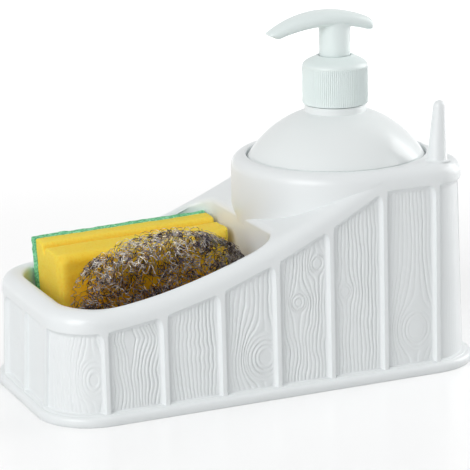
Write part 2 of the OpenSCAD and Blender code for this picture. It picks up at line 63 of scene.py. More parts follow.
# Caddy, in millimetres
HALF_L = 113.6
HALF_W = 54.2
CORNER_R = 26.5
END_SLOPE = 0.05
SIDE_SLOPE = 0.01
RIM_LOW = 55.0
HOUSING_TOP = 105.8
PUMP_X = 57.4
RAMP_X = -92.6
RAMP_POWER = 1.7
EDGE_R = 6.0
EDGE_END = 5.0
FLANGE_OUT = 2.4
FLANGE_H = 4.8
FLANGE_ROUND = 1.9
FLANGE_EASE = 0.4
WALL = 1.8
DRUM_BELOW = 4.0
DECK_DRUM_Z = 80.0
DECK_TUCK = 0.4
DECK_STEP = 1.9

# Boards
BOARD_PITCH = 29.27
BATTEN_W = 2.0
BATTEN_SHIFTS = (-1.05, -0.2, 0.35, 0.2, -0.2, -0.3, -0.5)
BOARD_DEPTH = 2.15
BOARD_RUN = 1.7
BOARD_TOP_EASE = 0.55
BOARD_LEFT_STEEP = 4.5
BOARD_EASE = 0.3
BOARD_COVE = 2.4
BOARD_FOOT_RUN = 0.5
BOARD_BOTTOM = 5.2
BOARD_BAND = 9.4
BOARD_CORNER = 3.6
GRAIN_LEFT = 2.4
GRAIN_RIGHT = 1.6
GRAIN_TOP = 1.6
GRAIN_FOOT = 0.4
GRAIN_FADE = 0.9

# Steps of the boards' mesh, across and up, and its closer places at both edges
GRAIN_U = 0.29
GRAIN_Z = 0.55
EDGE_U = (0.0, 0.6, 0.85, 1.0, 1.15, 1.3, 1.5, 1.7, 1.9, 2.15, 2.4, 2.7, 3.0, 3.3, 3.6, 3.9)
EDGE_Z = (0.0, 0.15, 0.3, 0.5, 0.75, 1.05, 1.4, 1.75, 2.1, 2.5, 2.9)

# A grain line, in shares of the distance between lines, and its share of the full depth
LINE_START = 0.36
LINE_RISE = 0.46
LINE_FALL = 0.2
LINE_DEPTH = 0.72
# A knot's plain core in shares of its radius, and its rings in shares of the pitch
KNOT_CORE = 0.32
RING_PITCH = 0.9
# Where lines run so close that the grain fades: columns' distance, limit and rate
STEEP_STEP = 0.6
STEEP_LIMIT = 1.9
STEEP_RATE = 1.15

# Well, socket and peg
WELL_LEFT = -100.75
WELL_RIGHT = 3.25
WELL_HALF_W = 45.5
WELL_FLOOR = 5.0
WELL_CORNER_LEFT = 22.0
WELL_CORNER_RIGHT = 13.0
WELL_SLOPE = 0.012
WELL_FOOT = 2.5
LIP_R = 2.2
SOCKET_R = 45.4
SOCKET_FLOOR = 3.0
MOUTH_ROUND = 0.8
PEG_X = 92.8
PEG_Y = -41.8
PEG_FOOT_R = 4.9
PEG_TIP_R = 3.0
PEG_H = 30.0
PEG_LEAN = 1.3
PEG_FILLET = 1.6


def smooth(t):
    t = np.clip(t, 0.0, 1.0)
    return t * t * (3.0 - 2.0 * t)


def unit(v):
    """Vectors of length 1."""
    return v / (np.linalg.norm(v, axis=-1)[..., None] + 1e-9)


def circle(n):
    """Angles of n points round a circle."""
    return 2 * PI * np.arange(n) / n


def about(r, a, z, centre=(PUMP_X, 0.0)):
    """Points at radius r, angle a and height z about an upright axis, the pump's by default."""
    r, a, z = np.broadcast_arrays(r, a, z)
    return np.stack([centre[0] + r * np.cos(a), centre[1] + r * np.sin(a), z], -1)


def rim_z(x):
    """Height of the top edge: level round the well, then sweeping up to the housing."""
    u = np.clip((np.asarray(x, float) - RAMP_X) / (PUMP_X - RAMP_X), 0.0, 1.0)
    return RIM_LOW + (HOUSING_TOP - RIM_LOW) * u ** RAMP_POWER


# Meshes
def new_object(name, data):
    o = bpy.data.objects.new(name, data)
    bpy.context.scene.collection.objects.link(o)
    return o


def edit(mesh, change):
    """Changes a mesh by a function of its bmesh."""
    bm = bmesh.new()
    bm.from_mesh(mesh)
    change(bm)
    bm.to_mesh(mesh)
    bm.free()


class Builder:
    """Collects grids and faces of one piece, in millimetres."""

    def __init__(self):
        self.points, self.corners, self.sizes = [], [], []
        self.count = 0

    def add(self, points, faces):
        """Adds points, and faces as rows of their numbers."""
        self.points.append(np.asarray(points, float).reshape(-1, 3))
        self.corners.append(np.concatenate(faces) + self.count)
        self.sizes.append([len(f) for f in faces])
        self.count += len(self.points[-1])

    def grid(self, points, wrap=False, flip=False):
        """points has rows of columns; wrap joins the last column to the first."""
        rows, cols = points.shape[:2]
        j, i = np.meshgrid(np.arange(rows - 1), np.arange(cols if wrap else cols - 1), indexing="ij")
        a, b = j * cols + i, j * cols + (i + 1) % cols
        c, d = b + cols, a + cols
        self.add(points, np.stack([a, d, c, b] if flip else [a, b, c, d], -1).reshape(-1, 4))

    def object(self, name, merge=0.004):
        """The piece as an object, with points closer than merge joined."""
        def join(bm):
            bmesh.ops.remove_doubles(bm, verts=bm.verts, dist=merge * MM)
            loose = [v for v in bm.verts if not v.link_faces]
            bmesh.ops.delete(bm, geom=loose, context="VERTS")

        mesh = bpy.data.meshes.new(name)
        points = np.concatenate(self.points) * MM
        corners, sizes = np.concatenate(self.corners), np.concatenate(self.sizes)
        mesh.vertices.add(len(points))
        mesh.vertices.foreach_set("co", points.ravel())
        mesh.loops.add(len(corners))
        mesh.loops.foreach_set("vertex_index", corners)
        mesh.polygons.add(len(sizes))
        mesh.polygons.foreach_set("loop_start", np.cumsum(sizes) - sizes)
        mesh.update(calc_edges=True)
        if merge:
            edit(mesh, join)
        mesh.validate()
        mesh.shade_smooth()
        return new_object(name, mesh)


def lathe(builder, profile, turns=96, flip=False, **centre):
    """Turns a profile of (radius, z) about an upright axis."""
    r, z = np.array(profile, float).T[:, :, None]
    builder.grid(about(r, circle(turns), z, **centre), wrap=True, flip=flip)


def arc(cx, cz, r, a0, a1, steps):
    """Points of an arc in a profile, from angle a0 to a1 in degrees."""
    angles = [math.radians(a0 + (a1 - a0) * i / steps) for i in range(steps + 1)]
    return [(cx + r * math.cos(a), cz + r * math.sin(a)) for a in angles]


def sharpen(piece, angle):
    """Marks edges over this angle as sharp."""
    def mark(bm):
        for e in bm.edges:
            e.smooth = not (len(e.link_faces) == 2 and e.calc_face_angle(0.0) > math.radians(angle))

    edit(piece.data, mark)
    return piece


def outward(piece):
    """Turns every sheet of a piece to face outwards."""
    edit(piece.data, lambda bm: bmesh.ops.recalc_face_normals(bm, faces=bm.faces))
    return piece


def inside_loop(points, loop):
    """Which points lie inside a closed loop."""
    x, y = points.T
    inside = np.zeros(len(points), bool)
    for (ax, ay), (bx, by) in zip(loop, np.roll(loop, -1, axis=0)):
        if ay != by:
            inside ^= ((ay > y) != (by > y)) & (x < (bx - ax) * (y - ay) / (by - ay) + ax)
    return inside


def nearest(points, others):
    """Distance of each point from the nearest of the others."""
    return np.hypot(*(points[:, None] - others[None]).transpose(2, 0, 1)).min(axis=1)


def triangles(points, edges):
    """Triangles over points in a plane: the points, the faces, and each point's sources."""
    verts, _, faces, origin, _, _ = delaunay_2d_cdt([Vector(p) for p in points], edges, [], 0, 1e-5)
    return np.array([(v.x, v.y) for v in verts]), np.array([f[:3] for f in faces]), origin


def facing(points, faces, way):
    """The triangles, turned so that their area in the plane has the sign of way."""
    a, b, c = points[faces].transpose(1, 2, 0)
    area = (b[0] - a[0]) * (c[1] - a[1]) - (b[1] - a[1]) * (c[0] - a[0])
    return np.where((area * way > 0)[:, None], faces, faces[:, ::-1])


# Caddy: the outline of the wall, by the distance s along half of it. s starts at the
# middle of the left end and runs over the front to the middle of the right end.
END_RUN = HALF_W - CORNER_R
SIDE_HALF = HALF_L - CORNER_R
S_FRONT = END_RUN + CORNER_R * PI / 2
S_MIDDLE = S_FRONT + SIDE_HALF
S_END = 2 * S_MIDDLE


def wall_point(s, z, inset):
    """(x, y) of the wall at a distance s, a height z, and an inset from the battens."""
    s, z, inset = np.broadcast_arrays(np.asarray(s, float), z, inset)
    corner = CORNER_R - z * END_SLOPE
    r = corner - inset
    end = np.minimum(s, S_END - s)
    turn = np.clip((end - END_RUN) / CORNER_R, 0, PI / 2)
    x = np.clip(s - S_MIDDLE, -SIDE_HALF, SIDE_HALF) + np.where(s < S_MIDDLE, -r, r) * np.cos(turn)
    y = (HALF_W - z * SIDE_SLOPE - corner) * np.minimum(end / END_RUN, 1.0) + r * np.sin(turn)
    return x, -y


def batten_s():
    """The battens' places along the wall."""
    front = [S_MIDDLE + (i - 3) * BOARD_PITCH + shift for i, shift in enumerate(BATTEN_SHIFTS)]
    return [0.0, BOARD_PITCH] + front + [S_END - BOARD_PITCH, S_END]


def top_line(s):
    """Height where the boards end below the rim."""
    return rim_z(wall_point(s, RIM_LOW, 0.0)[0]) - BOARD_BAND


# Caddy: wood-look relief, on boards from the left end to the right end. A knot is
# (across share, up share, radius, stretch), a split (across share, up share, slope, reach).
FRONT_SEED = 11
FRONT_BOARDS = [
    dict(depth=0.16, wave=0.7),
    dict(depth=0.36, knots=[(0.84, 0.42, 7.4, 1.35)], wave=0.8, pitch=2.2),
    dict(splits=[(0.42, 0.4, 0.17, 26.0)], wave=0.8, pitch=1.8),
    dict(wave=1.3, pitch=2.0),
    dict(knots=[(0.8, 0.25, 10.4, 1.15)], wave=0.6, pitch=2.2),
    dict(knots=[(0.78, 0.78, 3.8, 1.15), (0.4, 0.54, 4.2, 1.1)], wave=0.9, pitch=1.9),
    dict(knots=[(0.26, 0.47, 2.8, 1.2)], pitch=2.0),
    dict(depth=0.34, knots=[(0.62, 0.2, 9.5, 1.2)], wave=0.7),
    dict(depth=0.05, wave=0.6),
    dict(depth=0.2, knots=[(0.6, 0.4, 3.0, 1.6)], wave=0.7),
]
BACK_SEED = 31
BACK_BOARDS = [
    dict(depth=0.24, knots=[(0.4, 0.5, 2.6, 1.4)], wave=0.6),
    dict(depth=0.3, wave=0.8),
    dict(knots=[(0.7, 0.3, 4.2, 1.3)], wave=0.6),
    dict(splits=[(0.45, 0.4, 0.24, 30.0)], wave=0.6),
    dict(knots=[(0.3, 0.3, 1.8, 2.2)], wave=1.6),
    dict(knots=[(0.3, 0.66, 5.6, 1.2)], wave=0.7, pitch=2.0),
    dict(knots=[(0.7, 0.25, 3.0, 1.3), (0.25, 0.7, 2.6, 1.4)], wave=0.9),
    dict(splits=[(0.5, 0.35, 0.24, 30.0)], wave=0.6),
    dict(depth=0.2, knots=[(0.45, 0.6, 3.4, 1.5)], wave=0.8),
    dict(depth=0.24, wave=0.8),
]


def grain_phase(u, z, width, height, seed, pitch, wave, knots, splits):
    """Phase whose whole numbers are the grain lines, at (u, z) from the board's corner."""
    rng = np.random.default_rng(seed)
    drift = np.zeros_like(u)
    for _ in range(4):
        length, lean = rng.uniform(18, 60), rng.uniform(-0.06, 0.06)
        drift += rng.uniform(0.3, 1.0) * np.sin(2 * PI * (z / length + u * lean) + rng.uniform(0, 6.3))
    for _ in range(3):
        length, lean = rng.uniform(6, 13), rng.uniform(-0.12, 0.12)
        drift += 0.16 * np.sin(2 * PI * (z / length + u * lean) + rng.uniform(0, 6.3))
    psi = u + wave * drift * 0.5
    for us, zs, r, stretch in knots:
        du, dz = u - us * width, (z - zs * height) / stretch
        psi = psi - du * (r * r) / np.maximum(du * du + dz * dz, r * r)
    for us, zs, slope, reach in splits:
        du, rise = psi - us * width, z - zs * height
        gap = slope * np.clip(np.minimum(rise, (reach - rise) * 1.8), 0.0, None)
        psi = us * width + np.sign(du) * np.maximum(np.abs(du) - gap, 0.0)
    phase = psi / pitch
    for us, zs, r, stretch in knots:
        far = np.hypot(u - us * width, (z - zs * height) / stretch)
        ring = (np.maximum(far, r * KNOT_CORE) - r) / (pitch * RING_PITCH)
        phase = np.where(far < r, us * width / pitch + 0.5 + ring, phase)
    return phase


def grain_depth(u, z, width, height, seed, depth=0.6, pitch=2.1, wave=0.5, knots=(), splits=()):
    """Depth of the grain below the board's face."""
    phase = grain_phase(u, z, width, height, seed, pitch, wave, knots, splits)
    line = np.floor(phase)
    share = phase - line
    groove = smooth((share - LINE_START) / LINE_RISE) * smooth((1.0 - share) / LINE_FALL)
    groove *= LINE_DEPTH + (1.0 - LINE_DEPTH) * np.sin(line * 2.4 + seed)
    rng = np.random.default_rng(seed + 100)
    fade = 1.0 + 0.25 * np.sin(z / rng.uniform(7, 15) + rng.uniform(0, 6) + u * 0.2)
    steep = np.abs(np.gradient(phase, axis=1)) / STEEP_STEP
    return depth * groove * fade * smooth(STEEP_LIMIT - steep * STEEP_RATE)


def spread(length, step, edge):
    """Distances from 0 to length: those in edge at both ends, and even steps between."""
    inner = length - 2 * edge[-1]
    n = max(2, int(round(inner / step)))
    middle = [edge[-1] + inner * k / n for k in range(1, n)]
    return np.array(list(edge) + middle + [length - e for e in reversed(edge)])


def corner_distance(d1, d2):
    """Distance to the nearer of two edges that meet in a round corner."""
    r = BOARD_CORNER
    turn = r - np.sqrt(np.maximum(r - d1, 0) ** 2 + np.maximum(r - d2, 0) ** 2)
    return np.where((d1 < r) & (d2 < r), turn, np.minimum(d1, d2))


def cove(d):
    """Share of a board's depth at a distance d from its edge: steep at first, then level."""
    d = np.maximum(d, 0.0)
    d = np.where(d < BOARD_EASE, d * d / (2 * BOARD_EASE), d - BOARD_EASE / 2)
    return 1.0 - np.clip(1.0 - d / BOARD_RUN, 0.0, 1.0) ** BOARD_COVE


def board_depth(board, left, right, low, high, size):
    """How far the wall lies below the battens, by its distances from the board's edges."""
    eased = high * BOARD_TOP_EASE
    d = np.minimum(corner_distance(left * BOARD_LEFT_STEEP, eased), corner_distance(right, eased))
    depth = BOARD_DEPTH * np.minimum(cove(d), smooth(low / BOARD_FOOT_RUN))
    d = np.minimum(np.minimum(left - GRAIN_LEFT, right - GRAIN_RIGHT), high - GRAIN_TOP)
    edge = smooth(np.minimum(d, low - GRAIN_FOOT) / GRAIN_FADE)
    return depth + grain_depth(left, low, *size, **board) * edge


def foot_rows():
    """(z, inset) of the rows from the inner edge of the underside to the foot of the boards."""
    rows = [(0.0, BOARD_DEPTH + WALL), (0.0, FLANGE_EASE - FLANGE_OUT), (FLANGE_EASE, -FLANGE_OUT),
            (FLANGE_H - FLANGE_ROUND, -FLANGE_OUT)]
    rows += [(FLANGE_H - FLANGE_ROUND * (1 - math.sin(a)), FLANGE_ROUND * (1 - math.cos(a)) - FLANGE_OUT)
             for a in (PI / 8, PI / 4, 3 * PI / 8, PI / 2)]
    rows += [(FLANGE_H + FLANGE_EASE * (1 - math.cos(a)), -FLANGE_EASE * (1 - math.sin(a)))
             for a in (0.0, PI / 6, PI / 3)]
    return rows


def shell_segment(builder, s0, s1, board, side):
    """The wall from one batten to the next. Returns the last row, where the deck begins."""
    s = s0 + spread(s1 - s0, GRAIN_U, EDGE_U)
    u0, u1 = s0 + BATTEN_W / 2, s1 - BATTEN_W / 2
    t0, t1 = top_line(u0), top_line(u1)
    slope = (t1 - t0) / (u1 - u0)
    top = np.where((s >= u0) & (s <= u1), t0 + slope * (s - u0), top_line(s))
    height = max(t0, t1) - BOARD_BOTTOM
    share = spread(height, GRAIN_Z, EDGE_Z) / height
    rim = rim_z(wall_point(s, RIM_LOW, 0.0)[0])
    rows = [(*wall_point(s, z, inset), np.full_like(s, z)) for z, inset in foot_rows()]
    z = BOARD_BOTTOM + share[:, None] * (top - BOARD_BOTTOM)
    across = np.broadcast_to(s, z.shape)
    high = (top - z) * math.cos(math.atan(slope))
    depth = board_depth(board, across - u0, u1 - across, z - BOARD_BOTTOM, high, (u1 - u0, height))
    rows += zip(*wall_point(across, z, depth), z)
    for f in (0.4, 0.75):
        z = top + (rim - EDGE_R - top) * f
        rows.append((*wall_point(s, z, 0.0), z))
    for a in [math.radians(d) for d in range(0, 73, 9)] + [math.acos(1 - EDGE_END / EDGE_R)]:
        down = EDGE_R * (1 - math.sin(a))
        x, y = wall_point(s, rim - down, EDGE_R * (1 - math.cos(a)))
        rows.append((x, y, rim_z(x) - down))
    points = np.array(rows).transpose(0, 2, 1)
    points[:, :, 1] *= side
    builder.grid(points, flip=side < 0)
    return points[-1]


def well_ring(inset, drop=None, z=None):
    """A closed ring of the well's outline, at height z or drop below the rim."""
    turn = PI / 2 * np.arange(13) / 12
    x0, x1 = WELL_LEFT + WELL_CORNER_LEFT, WELL_RIGHT - WELL_CORNER_RIGHT
    side = np.linspace(x0, x1, 37)[1:-1]
    mid = np.concatenate([0 * turn + x0, side, 0 * turn + x1])
    out = np.concatenate([-np.cos(turn), 0 * side, np.cos(turn[::-1])])
    front = np.concatenate([np.sin(turn), 0 * side + 1, np.sin(turn[::-1])])

    def half(level):
        grow = WELL_SLOPE * level
        r = np.where(mid > x0, WELL_CORNER_RIGHT, WELL_CORNER_LEFT) + grow
        return mid + (r - inset) * out, r - WELL_HALF_W - grow - (r - inset) * front

    x, y = half(RIM_LOW if z is None else z)
    if z is None:
        x, y = half(rim_z(x) - drop)
        z = rim_z(x) - drop
    half_ring = np.column_stack([x, y, np.broadcast_to(z, x.shape)])
    across = [half_ring[-1] * (1, 1 - 2 * t, 1) for t in np.linspace(0, 1, 14)[1:-1]]
    end = [half_ring[0] * (1, 2 * t - 1, 1) for t in np.linspace(0, 1, 10)[1:-1]]
    return np.vstack([half_ring, across, half_ring[::-1] * (1, -1, 1), end])


def well_sheet(builder):
    """The well's floor and walls. Returns the ring where its lip meets the deck."""
    rows = [well_ring(WELL_FOOT * (1 - math.sin(t)), z=WELL_FLOOR + WELL_FOOT * (1 - math.cos(t)))
            for t in np.radians((0, 22.5, 45, 67.5, 90))]
    foot, mouth = rows[-1], well_ring(0.0, drop=LIP_R)
    rows += [foot + (mouth - foot) * f for f in (0.25, 0.5, 0.75)]
    rows += [well_ring(-LIP_R * (1 - math.cos(t)), drop=LIP_R * (1 - math.sin(t)))
             for t in np.radians(range(0, 91, 15))]
    builder.grid(np.array(rows), wrap=True, flip=True)
    builder.add(rows[0], [range(len(rows[0]))])
    return rows[-1]


def drum_r(z):
    return HALF_W - z * SIDE_SLOPE


def drum_sheet(builder):
    """The drum's wall and edge, down to just below the deck that meets it."""
    edge_z = HOUSING_TOP - EDGE_R
    a = PI / 2 + PI * np.arange(121) / 120
    low = rim_z(PUMP_X + HALF_W * np.cos(a)) - DRUM_BELOW
    rows = [low + np.maximum(edge_z - low, 0.0) * f for f in (0.0, 0.25, 0.5, 0.75, 1.0)]
    rows += [np.maximum(low, edge_z + EDGE_R * math.sin(math.radians(d))) for d in range(10, 91, 10)]
    grid = []
    for z in rows:
        turn = np.arcsin(np.clip((z - edge_z) / EDGE_R, 0.0, 1.0))
        grid.append(about(drum_r(z) - EDGE_R * (1 - np.cos(turn)), a, z))
    grid.append(about(SOCKET_R + MOUTH_ROUND, a, HOUSING_TOP))
    builder.grid(np.array(grid))


def deck_sheet(builder, outer, well, lower=0.0):
    """The top surface between the rim, the well and the drum."""
    drum_edge = drum_r(DECK_DRUM_Z)
    stop_x = PUMP_X - 6.0
    outer = outer[outer[:, 0] < stop_x]
    loop, hole = outer[:, :2], well[:, :2]
    drum = about(drum_edge - DECK_TUCK, np.linspace(PI / 2 + 0.05, 3 * PI / 2 - 0.05, 90), 0.0)[:, :2]
    n_out, n_well = len(loop), len(hole)
    edges = [(i, (i + 1) % n_out) for i in range(n_out)]
    edges += [(n_out + i, n_out + (i + 1) % n_well) for i in range(n_well)]
    edges += [(n_out + n_well + i, n_out + n_well + i + 1) for i in range(len(drum) - 1)]
    inner = np.stack(np.meshgrid(np.arange(-108, stop_x, DECK_STEP), np.arange(-50, 51, DECK_STEP)), -1)
    inner = inner.reshape(-1, 2)

    def on_deck(points, r):
        far = np.hypot(points[:, 0] - PUMP_X, points[:, 1]) > r
        return inside_loop(points, loop) & ~inside_loop(points, hole) & far

    inner = inner[on_deck(inner, drum_edge)]
    inner = inner[nearest(inner, np.vstack([loop, hole])) > 1.0]
    flat, faces, origin = triangles(np.vstack([loop, hole, drum, inner]), edges)
    faces = faces[on_deck(flat[faces].mean(axis=1), drum_edge - DECK_TUCK)]
    z = rim_z(flat[:, 0])
    known = np.vstack([outer, well])
    for i, sources in enumerate(origin):
        for k in sources:
            if k < len(known):
                flat[i], z[i] = known[k, :2], known[k, 2]
    builder.add(np.column_stack([flat, z - lower]), facing(flat, faces, 1))


def housing_top(builder, outer):
    """The level ring round the bottle, right of the drum."""
    ring = outer[outer[:, 0] >= PUMP_X - 0.6]
    angle = np.arctan2(ring[:, 1], ring[:, 0] - PUMP_X)
    mouth = about(SOCKET_R + MOUTH_ROUND, angle, HOUSING_TOP)
    middle = (ring + mouth) / 2
    middle[:, 2] = HOUSING_TOP
    builder.grid(np.array([ring, middle, mouth]))


def socket_sheet(builder):
    mouth = arc(SOCKET_R + MOUTH_ROUND, HOUSING_TOP - MOUTH_ROUND, MOUTH_ROUND, 90, 180, 4)
    foot = [(SOCKET_R, SOCKET_FLOOR + 1.0), (SOCKET_R - 1.0, SOCKET_FLOOR), (0.01, SOCKET_FLOOR)]
    lathe(builder, mouth + foot, turns=128)


def peg_sheet(builder):
    foot_r = PEG_FOOT_R + PEG_FILLET
    slope = math.degrees(math.atan((PEG_FOOT_R - PEG_TIP_R) / (PEG_H - PEG_TIP_R)))
    profile = [(foot_r + 0.1, HOUSING_TOP - 0.2)]
    profile += arc(foot_r, HOUSING_TOP + PEG_FILLET, PEG_FILLET, 270, 180 + slope, 6)
    profile += arc(0.0, HOUSING_TOP + PEG_H - PEG_TIP_R, PEG_TIP_R, slope, 89.5, 9)
    lathe(builder, profile, turns=48, centre=(PEG_X, PEG_Y))
    points = builder.points[-1]
    points[:, 0] += PEG_LEAN * np.clip(points[:, 2] - HOUSING_TOP, 0.0, PEG_H) / PEG_H


def make_caddy():
    """The moulding, and the outlines between which its deck lies."""
    shell = Builder()
    battens = batten_s()
    ends = {1: [], -1: []}
    for k, (s0, s1) in enumerate(zip(battens, battens[1:])):
        for side, boards, seed in ((1, FRONT_BOARDS, FRONT_SEED), (-1, BACK_BOARDS, BACK_SEED)):
            row = shell_segment(shell, s0, s1, dict(boards[k], seed=seed + k), side)
            ends[side].append(row[:-1])
    front, back = np.vstack(ends[1]), np.vstack(ends[-1])[::-1]
    left = np.vstack([back[:-1], front])
    well = well_sheet(shell)
    deck_sheet(shell, left, well)
    housing_top(shell, np.vstack([front, back]))
    drum_sheet(shell)
    socket_sheet(shell)
    peg_sheet(shell)
    return shell.object("caddy_moulding"), left, well


def make_underside(left, well):
    """The hollow under the moulding: inner walls, and the outsides of the well and socket."""
    under = Builder()
    s = np.linspace(0, S_END, 160)
    inset = BOARD_DEPTH + WALL
    turn_r = EDGE_R - WALL
    for side in (1, -1):
        rows = []
        for f in (0.0, 0.5, 1.0):
            z = (rim_z(wall_point(s, RIM_LOW, inset)[0]) - EDGE_R) * f
            x, y = wall_point(s, z, inset)
            rows.append(np.column_stack([x, y * side, z]))
        for t in np.radians((30, 60, 90)):
            x, y = wall_point(s, RIM_LOW, inset + turn_r * (1 - math.cos(t)))
            rows.append(np.column_stack([x, y * side, rim_z(x) - EDGE_R + turn_r * math.sin(t)]))
        under.grid(np.array(rows), flip=side > 0)
    floor = well_ring(WELL_FOOT - WALL, z=WELL_FLOOR - WALL)
    foot = well_ring(-WALL, z=WELL_FLOOR + WELL_FOOT - WALL)
    lip = well_ring(-WALL, drop=LIP_R + WALL)
    under.grid(np.array([floor, foot, lip]), wrap=True)
    under.add(floor, [range(len(floor))[::-1]])
    deck_sheet(under, left, well, lower=WALL)
    r, z = SOCKET_R + WALL, SOCKET_FLOOR - WALL
    lathe(under, [(0.01, z), (r - 1.0, z), (r, z + 1.0), (r, HOUSING_TOP - WALL)])
    return under.object("caddy_underside")


# Bottle
BOTTLE_R = 44.9
BOTTLE_WALL = 1.2
DOME_R = 52.3
BOTTLE_FOOT = 4.0
SEAM_DEPTH = 0.5
COLLAR_R = 15.6
COLLAR_FOOT = 126.9
COLLAR_TOP = 130.6
NECK_TOP = 146.0
NECK_ROOT = 12.8
THREAD_CREST = 13.75
THREAD_PITCH = 4.233
NECK_BORE = 10.9


def make_bottle():
    b = Builder()
    dome_z = COLLAR_FOOT - math.sqrt(DOME_R ** 2 - COLLAR_R ** 2)
    a0, a1 = [math.degrees(math.acos(r / DOME_R)) for r in (BOTTLE_R, COLLAR_R)]
    z0 = SOCKET_FLOOR
    body = [(0.01, z0 + 2.0), (BOTTLE_R - 12.0, z0 + 1.6), (BOTTLE_R - 8.0, z0)]
    body += arc(BOTTLE_R - BOTTLE_FOOT, z0 + BOTTLE_FOOT, BOTTLE_FOOT, -90, 0, 8)
    body += arc(0.0, dome_z, DOME_R, a0, a0 + 1.6, 3)
    body += [(r - SEAM_DEPTH, z) for r, z in arc(0.0, dome_z, DOME_R, a0 + 1.75, a0 + 2.15, 1)]
    body += arc(0.0, dome_z, DOME_R, a0 + 2.4, a1, 40)
    body += [(COLLAR_R, COLLAR_FOOT + 0.3)]
    body += arc(COLLAR_R - 0.5, COLLAR_TOP - 0.5, 0.5, 0, 90, 4)
    body += [(NECK_ROOT + 0.4, COLLAR_TOP), (NECK_ROOT, COLLAR_TOP + 0.4)]
    lathe(b, body, turns=144)
    z = np.linspace(COLLAR_TOP + 0.4, NECK_TOP - 0.6, 76)[:, None]
    a = circle(96)
    phase = (z - COLLAR_TOP - 2.6) / THREAD_PITCH - a / (2 * PI)
    lead = smooth((z - COLLAR_TOP - 2.2 - a * 0.1) / 0.9) * smooth((NECK_TOP - 2.0 - z) / 0.9)
    crest = np.clip(1.25 - np.abs((phase % 1.0) - 0.5) * 5.0, 0, 1)
    b.grid(about(NECK_ROOT + (THREAD_CREST - NECK_ROOT) * smooth(crest) * lead, a, z), wrap=True)
    inner = [(NECK_ROOT, NECK_TOP - 0.6), (NECK_ROOT - 0.5, NECK_TOP), (NECK_BORE + 0.3, NECK_TOP),
             (NECK_BORE, NECK_TOP - 0.3), (NECK_BORE, COLLAR_FOOT)]
    inner += arc(0.0, dome_z, DOME_R - BOTTLE_WALL, a1, a0, 16)
    inner += [(BOTTLE_R - BOTTLE_WALL, z0 + 4.0), (0.01, z0 + 3.4)]
    lathe(b, inner)
    return sharpen(b.object("bottle_shell"), 50)


# Closure
CLOSURE_R = 16.5
CLOSURE_FOOT = 131.0
CLOSURE_TOP = 155.2
CLOSURE_BORE = 14.1
CLOSURE_WEB = 148.5
OPENING_R = 9.0
RIBS = 100
RIB_POINTS = 7
RIB_DEPTH = 0.38
SHOULDER = 5.2
# (inwards, up) in shares of the shoulder
SHOULDER_LINE = ((0.02, 0.12), (0.06, 0.24), (0.14, 0.36), (0.25, 0.47), (0.38, 0.58),
                 (0.52, 0.68), (0.67, 0.78), (0.8, 0.86), (0.9, 0.93), (0.96, 0.98), (1.0, 1.0))


def make_closure():
    b = Builder()
    a = circle(RIBS * RIB_POINTS)
    rib_top = CLOSURE_TOP - SHOULDER
    t = (np.arange(len(a)) % RIB_POINTS) / RIB_POINTS
    ridge = smooth(1.35 - np.abs(t - 0.45) * 3.6)
    outline = [(CLOSURE_R - 0.5, CLOSURE_FOOT, 0.0), (CLOSURE_R - 0.1, CLOSURE_FOOT + 0.15, 0.3),
               (CLOSURE_R, CLOSURE_FOOT + 0.7, 1.0)]
    outline += [(CLOSURE_R, CLOSURE_FOOT + f * (rib_top - CLOSURE_FOOT), 1.0) for f in (0.25, 0.5, 0.75)]
    outline += [(CLOSURE_R, rib_top - 0.9, 1.0), (CLOSURE_R, rib_top - 0.3, 0.5),
                (CLOSURE_R - 0.05, rib_top, 0.0)]
    outline += [(CLOSURE_R - inwards * (CLOSURE_R - OPENING_R), rib_top + up * SHOULDER, 0.0)
                for inwards, up in SHOULDER_LINE]
    b.grid(np.array([about(r - RIB_DEPTH * (1 - ridge) * k, a, z) for r, z, k in outline]), wrap=True)
    inner = [(OPENING_R, CLOSURE_TOP), (OPENING_R, CLOSURE_WEB), (CLOSURE_BORE, CLOSURE_WEB),
             (CLOSURE_BORE, CLOSURE_FOOT + 0.4), (CLOSURE_BORE + 0.4, CLOSURE_FOOT),
             (CLOSURE_R - 0.5, CLOSURE_FOOT)]
    lathe(b, inner, turns=100)
    return sharpen(b.object("closure_cap"), 55)


# Actuator head
HEAD_TOP = 178.2
HEAD_THICK = 8.0
HEAD_PEAK = -5.8
HEAD_TOP_R = 58.0
HEAD_UNDER_R = 75.0
NOZZLE_REACH = 37.5
TAIL_REACH = 19.5
HEAD_REACH = NOZZLE_REACH + TAIL_REACH
TIP_UNDERCUT = 6.0
TIP_HALF_W = 4.3
MID_HALF_W = 8.7
TAIL_HALF_W = 6.5
MID_SHARE = 0.66
FLAT_SHARE = 0.8
SKIRT_R = 7.85
SKIRT_WALL = 1.3
SKIRT_FOOT = 152.9
SKIRT_FLARE = 2.6
BOSS_FOOT = 165.6


def head_z(x):
    """Heights of the head's top and underside, along its middle."""
    return [peak - r + math.sqrt(r * r - (x - HEAD_PEAK) ** 2)
            for peak, r in ((HEAD_TOP, HEAD_TOP_R), (HEAD_TOP - HEAD_THICK, HEAD_UNDER_R))]


def head_half_w(u):
    """Half the head's width at a share u from the nozzle's tip to the tail."""
    if u < MID_SHARE:
        return TIP_HALF_W + (MID_HALF_W - TIP_HALF_W) * math.sin(PI / 2 * u / MID_SHARE)
    return TAIL_HALF_W + (MID_HALF_W - TAIL_HALF_W) * math.cos(PI / 2 * (u - MID_SHARE) / (1 - MID_SHARE))


def head_skin_z(x, y):
    """Height of the head's underside, which rises towards its rounded sides."""
    wide = min(abs(y) / head_half_w((x + NOZZLE_REACH) / HEAD_REACH), 0.96) ** (1 / FLAT_SHARE)
    up = math.sqrt(1.0 - wide * wide) ** FLAT_SHARE
    top, under = head_z(x)
    return under + (1.0 - up) * (top - under) / 2


